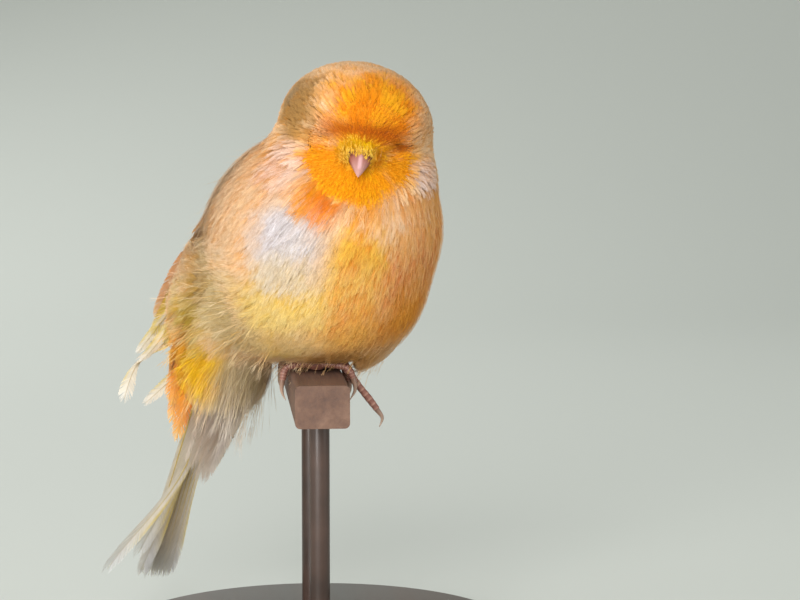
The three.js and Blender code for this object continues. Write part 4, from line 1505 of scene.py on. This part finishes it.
# %% Wings
TIERS = {
    "primary": dict(
        tips=(29, 32.2, 35.4, 38.4, 41.2, 42.6), root=18.5, across=(3.6, -4.4), slant=0.9,
        half=1.25, tilt=0.5, out=(0.0, 0.0),
    ),
    "secondary": dict(
        tips=(19.5, 23, 26, 28, 28.8, 28.4, 27.5), root=5, across=(6.4, -4.3), slant=0.9,
        half=1.4, tilt=0.5, out=(1.3, 1.6),
    ),
    "covert": dict(
        tips=(11, 12.5, 13.8, 14.5, 14.5, 14), root=1, across=(5.6, -4.2), slant=1.0,
        half=1.2, tilt=0.35, out=(2.3, 2.5),
    ),
}
FEATHERS_A_TIER = 9
LOOSE_WIDTHS = [0.6, 0.4, 0.28, 0.3, 1, 0.95, 0.3]
STRAYS = {
    # feathers that stand off at the wing's outer edge: the first is loose, with a bare shaft
    "right": [
        (
            "primary",
            [(-27, -8.8, 8.2), (-31.5, -7.6, 3.4), (-38, -7.8, -1.8), (-41, -8.4, -9)],
            1.5,
            LOOSE_WIDTHS,
        ),
        ("primary", [(-25.5, -10.4, 10.9), (-30.5, -11.1, 5.2), (-34.1, -11.7, 1.2)], 1.1, VANE_WIDTHS),
        ("primary", [(-25.9, -9.7, 8.4), (-29.8, -10.7, 3.3), (-33.4, -11.4, -0.3)], 1.1, VANE_WIDTHS),
        ("secondary", [(-22.5, -10.3, 13.9), (-25, -10.4, 8.1), (-27.6, -10.4, 2.7)], 1.7, VANE_WIDTHS),
        ("secondary", [(-21.4, -11.5, 18.1), (-26.1, -10.8, 11.3), (-30.5, -11.1, 4.8)], 1.5, VANE_WIDTHS),
        ("covert", [(-20.9, -12, 21.5), (-25.6, -11.3, 14.7), (-29.6, -11.2, 8.3)], 1.4, VANE_WIDTHS),
        ("covert", [(-16.9, -14.1, 20.9), (-19.3, -13.8, 17.1), (-22.5, -13, 12.2)], 1.5, VANE_WIDTHS),
    ],
    "left": [("primary", [(-32, 5.5, 4), (-37.1, 3.1, -3.9), (-42.4, -1.6, -10.5)], 1.3, VANE_WIDTHS)],
}


def spread(values, share):
    """A value at a share from 0 to 1 of a list."""
    return np.interp(share, np.linspace(0, 1, len(values)), values)


for side, seed in (("left", 31), ("right", 32)):
    wing = Plumes(seed)
    for scheme, tier in TIERS.items():
        for share in np.linspace(0, 1, FEATHERS_A_TIER):
            place = blend(*tier["across"], share)
            wing.add(
                wing_charts[side], scheme, root=(tier["root"], place),
                tip=(spread(tier["tips"], share), place * tier["slant"]),
                half=tier["half"], out=tier["out"], tilt=tier["tilt"], barbs=80, shaft=0.16, loose=0.02,
            )
    for scheme, line, half, widths in STRAYS[side]:
        wing.add_stray(scheme, line, half, widths=widths, shaft=0.16, loose=0.04)
    wing.finish(f"wing_{side}_feathers", f"wing_{side}")

# %% [markdown]
# ## Tail
#
# The tail has twelve feathers, the middle pair uppermost, and coverts above and below. It is a fan
# about a straight line, so its chart is plain. The tips could follow one rule, but the bird's right
# half is splayed and its outer feathers stray apart, so each feather has its own numbers.

# %% Tail
tail_side = BODY_TURN @ np.array([0, 1, 0])
tail_up = np.cross(TAIL_WAY, -tail_side)


def tail_chart(along, across, out):
    """Along the tail, across it to the bird's left, and out from its upper face."""
    sheet = TAIL_FROM + TAIL_WAY * along[..., None] + tail_side * across[..., None]
    return sheet + tail_up * out[..., None]


FAN_WIDTHS = [0.36, 0.44, 0.5, 0.66, 1, 0.86, 0.36]
FAN_ROOT = 8
FAN_START = 0.35
FAN = {
    # from the middle outwards: how far the tip lies, how far it strays, half width, height
    1: [
        (53.2, 0, 2.4, 1.2),
        (53, 0.4, 1.6, 0.6),
        (52.8, 0.5, 1.8, 0),
        (52.6, 0.7, 1.9, -0.6),
        (52.2, 0.9, 2, -1.3),
        (51.4, 0.8, 2.1, -2),
    ],
    -1: [
        (52.8, 0.4, 2.4, 2),
        (51.8, 1.5, 1.7, 0.5),
        (51, 2.2, 2, -0.1),
        (49.8, 3, 2.2, -0.7),
        (45, 5.8, 2.4, -1.3),
        (46.4, 14.2, 2.4, -2),
    ],
}
FAN_PITCH = {1: 0.29, -1: 0.5}
tail = Plumes(41)
for way, half_fan in FAN.items():
    for number, (end, stray, half, height) in enumerate(half_fan):
        tail.add(
            tail_chart, "tail", root=(FAN_ROOT, way * (FAN_START + 0.16 * number)),
            tip=(end, way * (FAN_START + FAN_PITCH[way] * number)), stray=way * stray,
            half=half, out=(height, height), tilt=-way * 0.12 if number else 0,
            widths=FAN_WIDTHS, barbs=170, shaft=0.3, loose=0.02,
        )
COVERTS_A_LAYER = 9
COVERTS = {
    "rump": dict(
        tips=(15, 18.5, 20.5, 18.5, 15), reach=4.4, half=1.9, out=(5.0, 2.4), barbs=46, loose=0.16
    ),
    "vent": dict(
        tips=(22, 25.5, 28, 27, 24), reach=6.4, half=2.5, out=(-8.0, -4.2), barbs=80, loose=0.05
    ),
}
for scheme, covert in COVERTS.items():
    for layer in range(2):
        for share in np.linspace(0, 1, COVERTS_A_LAYER):
            place = blend(covert["reach"], -covert["reach"], share)
            end = spread(covert["tips"], share) * (1 - 0.22 * layer)
            round_off = math.sqrt(1 - (place / 8) ** 2)
            middle = 1.2 * (1 - abs(2 * share - 1)) + 0.35 * layer
            heights = [h * round_off + math.copysign(middle, h) for h in covert["out"]]
            tail.add(
                tail_chart, scheme, root=(0.5, place), tip=(end, place * 0.62), half=covert["half"],
                out=heights, barbs=covert["barbs"], loose=covert["loose"], shaft=0.1,
            )
RUMP_STRAYS = [
    ([(-26, -4.6, 3.4), (-30.3, -4.4, -1.9), (-31.8, -5.2, -8.5)], 1.5),
    ([(-24.5, -5.5, 2), (-28.4, -5.9, -4.9), (-30, -6.7, -12.4)], 1.5),
    ([(-23, -6.7, 0.3), (-26, -6.9, -7.4), (-27.6, -7.9, -15.5)], 1.6),
    ([(-26, -2.6, 4), (-30.4, -2.6, -3), (-32.6, -3.4, -10)], 1.5),
    ([(-24, -7.4, 3), (-27.4, -7.4, -3), (-29, -7.6, -9)], 1.5),
]
for line, half in RUMP_STRAYS:
    tail.add_stray("rump", line, half, shaft=0.08, loose=0.07)
tail.finish("tail_feathers", "tail")

# %% [markdown]
# ## Bill and lids
#
# The bill is a short cone of horn in two halves with a line of mouth between them, and a nostril on
# each side. The solids have its true form with few faces, so a copy of each is remeshed finely and
# smoothed. The eyes are shut: what shows is a wrinkled lid with a slit. It could be modelled afresh,
# but the solid dome will do, moved to the middle of the slit, grown a little and pressed just under
# the coat's surface.

# %% Fine copies of solids
def fine_copy(node, name, voxel, rounds, finish, slot):
    """A copy of a solid with an even fine mesh and soft edges, which stands for it."""
    piece = copy_of_node(node, name)
    remesh(piece, voxel)
    soften(piece, rounds)
    bpy.ops.object.shade_smooth()
    attach(piece, finish, slot, node)
    return piece


print("fine copies ready")

# %% Bill
BILL_VOXEL = 0.12
bill_finish = marked_finish("bill_horn", 0.4, 1.0, 900, Coat_Weight=0.12)
bill_finish.bump(bill_finish.noise(1500, detail=3, stretch=(1, 1, 0.35)), 0.00005)
HORN, HORN_TIP, RIDGE_HIGHLIGHT, CREASE_SHADE = [colour(code) for code in ("86483c", "b4847c", "d2a6a8", "381c14")]
NOSTRIL = np.array([4.1, 1.05, 1.25])
for half in ("upper", "lower"):
    bill = fine_copy(f"bill_{half}", f"bill_{half}_horn", BILL_VOXEL, 6, bill_finish, "bill")
    place = (mesh_points(bill.data) - BILL_AT) @ BILL_TURN
    forward, aside, above = place[:, 0], np.abs(place[:, 1]), place[:, 2]
    shade = blend(HORN, HORN_TIP, smooth(forward, 3.5, 9)[:, None])
    # painted highlight: a paler line along the top of the upper bill
    ridge_highlight = (1 - smooth(aside, 0.1, 0.55)) * smooth(above, 0, 0.4) * smooth(forward, 1, 5)
    shade = blend(shade, RIDGE_HIGHLIGHT, 0.8 * ridge_highlight[:, None])
    # painted shade: the line of the mouth is near black, most of all at its corners, and so are the
    # nostrils
    from_mouth = np.abs(above + BILL_DROOP * (forward / BILL_LENGTH) ** 2)
    mouth = (1 - smooth(from_mouth, 0.05, 0.55)) * smooth(aside, 0.2, 0.8)
    shade = blend(shade, CREASE_SHADE, (mouth * blend(0.95, 0.35, smooth(forward, 3.4, 8)))[:, None])
    from_nostril = np.linalg.norm(np.stack([forward, aside, above], -1) - NOSTRIL, axis=-1)
    shade = blend(shade, CREASE_SHADE, (1 - smooth(from_nostril, 0.25, 0.6))[:, None])
    paint_points(bill.data, shade)

# %% Lids
LID_VOXEL = 0.1
LID_GROWTH = 1.1
FOLD_PITCH = 0.42
GROOVE_WIDTH = 0.2
lid_finish = marked_finish("wrinkled_lid", 0.6, 1.0, 1800)
LID_SKIN, LID_SHADE, SLIT_SHADE = [colour(code) for code in ("d08420", "9a5a14", "22100a")]
for side, way in (("left", 1), ("right", -1)):
    lid = fine_copy(f"eye_{side}", f"lid_{side}", LID_VOXEL, 3, lid_finish, "eyelid")
    points = mesh_points(lid.data)
    middle = slits[way][len(slits[way]) // 2]
    points = middle + (points - points.mean(0)) * LID_GROWTH
    points = press(points, np.minimum(plumage(points), LID_DEPTH), 4)
    away = from_slit(points, way)
    fold = 0.5 + 0.5 * np.cos(away * 2 * np.pi / FOLD_PITCH)
    groove = np.exp(-((away / GROOVE_WIDTH) ** 2))
    shown = smooth(plumage(points), LID_DEPTH - 0.5, LID_DEPTH)
    points = points - outwards(points) * (shown * (0.5 * groove + 0.03 * fold))[:, None]
    set_mesh_points(lid.data, points)
    # painted shade: the lid darkens towards the slit, and the slit itself is painted near black
    shade = blend(LID_SKIN, LID_SHADE, (0.6 * (1 - smooth(away, 0.3, 1.4)))[:, None])
    paint_points(lid.data, blend(shade, SLIT_SHADE, np.clip(groove * 1.3, 0, 1)[:, None]))

# %% [markdown]
# ## Feet
#
# A canary's toes are covered in rows of scutes, each overlapping the next. The solids have plain
# toes. Scutes could be carved into copies of them, but it is simpler to sweep each toe again along
# the same curve, in rings whose width steps up to the end of each scute and drops back. The claw
# goes on along the curve to a point.

# %% Lines of the toes
TOES = {
    # each toe's line down to its claw, and the claw's line, from the middle of the foot
    "right": {
        "hind": (
            [(-0.8, 0, 1.5), (-3.4, 0, 1.25), (-5.5, -0.1, 0.7), (-6.2, -0.2, -1.6)],
            [(-6.3, -0.2, -3.6), (-5.6, -0.2, -5.4)],
        ),
        "inner": (
            [(0.8, 0.7, 1.5), (3.4, 1.6, 1.25), (5.5, 2.2, 0.6), (6.1, 2.5, -2.2)],
            [(6.2, 2.6, -4), (5.6, 2.6, -5.6)],
        ),
        "middle": (
            [(0.8, 0, 1.5), (4.2, 0, 1.4), (7.3, 0.1, -2.4), (11, 0.2, -7.2)],
            [(12, 0.2, -8.8), (11.4, 0.2, -10.6)],
        ),
        "outer": (
            [(0.8, -0.7, 1.5), (3.4, -1.5, 1.25), (5.5, -1.9, 0.7), (6.5, -2, -1.2)],
            [(6.9, -2, -3.2), (5.9, -2, -5.2)],
        ),
    },
    "left": {
        "hind": (
            [(-0.8, 0, 1.5), (-3.4, 0, 1.25), (-5.5, 0.1, 0.7), (-6.1, 0.2, -1.8)],
            [(-6.2, 0.2, -3.8), (-5.5, 0.2, -5.6)],
        ),
        "inner": (
            [(0.8, -0.7, 1.5), (3.4, -1.7, 1.25), (5.5, -2.2, 0.6), (6.1, -2.4, -2)],
            [(6.2, -2.4, -3.8), (5.6, -2.4, -5.5)],
        ),
        "middle": (
            [(0.8, 0, 1.5), (4, 0, 1.3), (5.7, 0, 0.4), (6.3, 0, -4.4)],
            [(6.3, 0, -6.4), (5.4, 0, -8)],
        ),
        "outer": (
            [(0.8, 0.7, 1.5), (3.4, 1.7, 1.25), (5.5, 2.3, 0.6), (6.1, 2.5, -2.4)],
            [(6.2, 2.5, -4.2), (5.5, 2.5, -5.8)],
        ),
    },
}
FOOT_AT = {"right": np.array([0, -5, PERCH_TOP]), "left": np.array([0, 7.5, PERCH_TOP])}
print("toes:", sum(len(toes) for toes in TOES.values()))

# %% Sweeping a limb
SIDES = 14
SCUTES = 13
SHIN_SCUTES = 5
LINE_STEPS = 260


def sweep(line, radius, flat_below=0.0):
    """A closed round limb: rings along a line with a radius for each, flattened underneath."""
    ways = unit(np.gradient(line, axis=0))
    side = unit(np.cross(ways, [0, 1, 0]))
    across = np.cross(side, ways)
    angle = np.linspace(0, 2 * np.pi, SIDES, endpoint=False)
    up = np.cos(angle)
    up = np.where(up < 0, up * (1 - flat_below), up)
    ring = side[:, None] * up[None, :, None] + across[:, None] * np.sin(angle)[None, :, None]
    points = line[:, None] + ring * radius[:, None, None]
    count = len(line)
    index = np.arange(count * SIDES).reshape(count, SIDES)
    around = np.roll(index, -1, axis=1)
    quads = np.stack([index[:-1], around[:-1], around[1:], index[1:]], -1).reshape(-1, 4)
    triangles = np.vstack([quads[:, [0, 1, 2]], quads[:, [0, 2, 3]]])
    start, end = count * SIDES, count * SIDES + 1
    caps = [(start, index[0, (i + 1) % SIDES], index[0, i]) for i in range(SIDES)]
    caps += [(end, index[-1, i], index[-1, (i + 1) % SIDES]) for i in range(SIDES)]
    return np.vstack([points.reshape(-1, 3), line[:1], line[-1:]]), np.vstack([triangles, caps])


def gather(parts):
    """Joins (points, triangles, shade) parts in one set of arrays."""
    points, triangles, shades, count = [], [], [], 0
    for place, faces, shade in parts:
        points.append(place)
        triangles.append(faces + count)
        shades.append(shade)
        count += len(place)
    return np.vstack(points), np.vstack(triangles), np.vstack(shades)


def scuted(line, start, end, plates):
    """Radius along a limb whose plates step up and drop back, and how pale each ring is."""
    share = np.linspace(0, 1, len(line))
    saw = (share * plates) % 1
    radius = blend(start, end, share) * (1 + 0.09 * saw**2)
    return radius, smooth(saw, 0.5, 1.0)


def limb_shades(first, second, share, ends):
    """A colour for each point of a swept limb, its two end points last."""
    return blend(first, second, np.append(np.repeat(share, SIDES), ends)[:, None])


print("sides of a limb:", SIDES)

# %% Toes and claws
leg_finish = marked_finish("scaly_leg", 0.5, 1.0, 900, Coat_Weight=0.1)
claw_finish = marked_finish("claw_horn", 0.3, 1.0, 600, Coat_Weight=0.3)
SKIN_DARK, SKIN_PALE = colour("805244"), colour("a87c6c")
CLAW_ROOT, CLAW_TIP = colour("7a5a4a"), colour("b59a86")
for side, toes in TOES.items():
    foot = FOOT_AT[side]
    leg_parts = []
    claw_parts = []
    for path, claw in toes.values():
        whole, _, length = spline(np.array(path + claw) + foot, LINE_STEPS)
        claw_length = spline(np.array([path[-1]] + claw) + foot, 50)[2]
        parting = int(LINE_STEPS * (1 - claw_length / length))
        toe_line = whole[:parting:2]
        claw_line = whole[parting - 4 :: 4]
        radius, pale = scuted(toe_line, 0.82, 0.62, SCUTES)
        radius = radius * (1 - 0.05 * np.cos(np.linspace(0, 6 * np.pi, len(radius))))
        shade = limb_shades(SKIN_DARK, SKIN_PALE, pale, [0, 0])
        leg_parts.append((*sweep(toe_line, radius, 0.1), shade))
        share = np.linspace(0, 1, len(claw_line))
        shade = limb_shades(CLAW_ROOT, CLAW_TIP, share, [0, 1])
        claw_parts.append((*sweep(claw_line, blend(0.52, 0.05, share**1.3)), shade))
    shin = np.linspace(foot + [-0.3, 0, 1.3], foot + [-1.9, 0, 6.3], 40)
    radius, pale = scuted(shin, 1.0, 0.95, SHIN_SCUTES)
    leg_parts.append((*sweep(shin, radius), limb_shades(SKIN_DARK, SKIN_PALE, pale, [0, 0])))
    pad_line = np.linspace(foot + [-2.0, 0, 1.35], foot + [2.0, 0, 1.35], 16)
    pad_radius = 1.25 * np.sqrt(np.maximum(1 - np.linspace(-0.97, 0.97, 16) ** 2, 0.05))
    points, triangles = sweep(pad_line, pad_radius)
    leg_parts.append((points, triangles, np.tile(SKIN_DARK, (len(points), 1))))
    for name, parts, finish, slot_name, nodes in (
        (f"leg_{side}_scaly", leg_parts, leg_finish, "leg", [f"leg_{side}"]),
        (f"claws_{side}_horn", claw_parts, claw_finish, "claw", [f"claw_{side}_{toe}" for toe in toes]),
    ):
        piece = new_mesh(name, *gather(parts))
        select_only(piece)
        edit_all(bpy.ops.mesh.normals_make_consistent, inside=False)
        attach(piece, finish, slot_name, *nodes)

# %% [markdown]
# ## Perch
#
# The perch is a cut length of planed softwood. Its solid already has the right form and stays, with
# a wood finish: rings across the cut end, and grain along the sides. A picture of wood could be
# laid on instead, but stretched noise gives both at once and needs no unwrap.

# %% Perch
# the grain is the wood's own; the whole wood is painted darker than bare softwood, as painted shade where
# the perch lies under the bird
SHADED_WOOD_TONES = [(0.3, rgba("50382e")), (0.5, rgba("674b3c")), (0.7, rgba("7b5d4c"))]
wood = Finish("perch_wood", roughness=0.7)
grain = wood.noise(260, detail=5, stretch=(1, 0.06, 1))
fine_grain = wood.noise(1500, detail=3, stretch=(1, 0.04, 1))
wood.paint(
    Base_Color=wood.ramp(grain * 0.7 + fine_grain * 0.3, SHADED_WOOD_TONES),
    Roughness=fine_grain * 0.25 + 0.55,
)
wood.bump(grain * 0.5 + fine_grain * 0.5, 0.0002)
perch = bpy.data.objects["perch"]
perch.data.materials.clear()
perch.data.materials.append(wood.material)
print("perch finish:", wood.material.name)

# %% [markdown]
# ## Stand
#
# The stand's base and rods are turned wood with a dark stain. The solids could be kept as they are,
# but their round edges show flats, so each is made afresh from a cylinder with more sides, whose
# rims are bevelled.

# %% Stand
STAND_TONES = [(0.3, rgba("2c1e17")), (0.7, rgba("49342a"))]
stand_finish = Finish("stained_stand", roughness=0.42, Coat_Weight=0.2)
stain = stand_finish.noise(90, detail=5, stretch=(1, 0.12, 1))
stand_finish.paint(Base_Color=stand_finish.ramp(stain, STAND_TONES), Roughness=stain * 0.25 + 0.3)
stand_finish.bump(stain, 0.0001)


def turned_piece(name, node, radius, bottom, top, y, bevel, sides):
    """A cylinder between two heights with bevelled rims, which stands for a solid."""
    deselect_all()
    place = (0, y * MM, (bottom + top) / 2 * MM)
    bpy.ops.mesh.primitive_cylinder_add(
        vertices=sides, radius=radius * MM, depth=(top - bottom) * MM, location=place
    )
    piece = bpy.context.object
    piece.name = name
    bpy.ops.object.mode_set(mode="EDIT")
    bpy.ops.mesh.select_all(action="DESELECT")
    bpy.ops.object.mode_set(mode="OBJECT")
    for face in piece.data.polygons:
        face.select = len(face.vertices) > 4
    bpy.ops.object.mode_set(mode="EDIT")
    bpy.ops.mesh.bevel(offset=bevel * MM, segments=4, affect="EDGES")
    bpy.ops.object.mode_set(mode="OBJECT")
    bpy.ops.object.transform_apply(location=True, rotation=True, scale=True)
    bpy.ops.object.shade_smooth_by_angle(angle=math.radians(35))
    attach(piece, stand_finish, "stand", node)


BASE_RADIUS = 38
BASE_TOP = 5
ROD_RADIUS = 1.8
ROD_BOTTOM = 2.3
ROD_TOP = 48.7
RODS_AT = {"front": -15, "back": 18}
turned_piece("stand_base_turned", "stand_base", BASE_RADIUS, 0, BASE_TOP, 0, 1.0, 128)
for name, y in RODS_AT.items():
    rod = f"stand_rod_{name}"
    turned_piece(f"{rod}_turned", rod, ROD_RADIUS, ROD_BOTTOM, ROD_TOP, y, 0.2, 40)
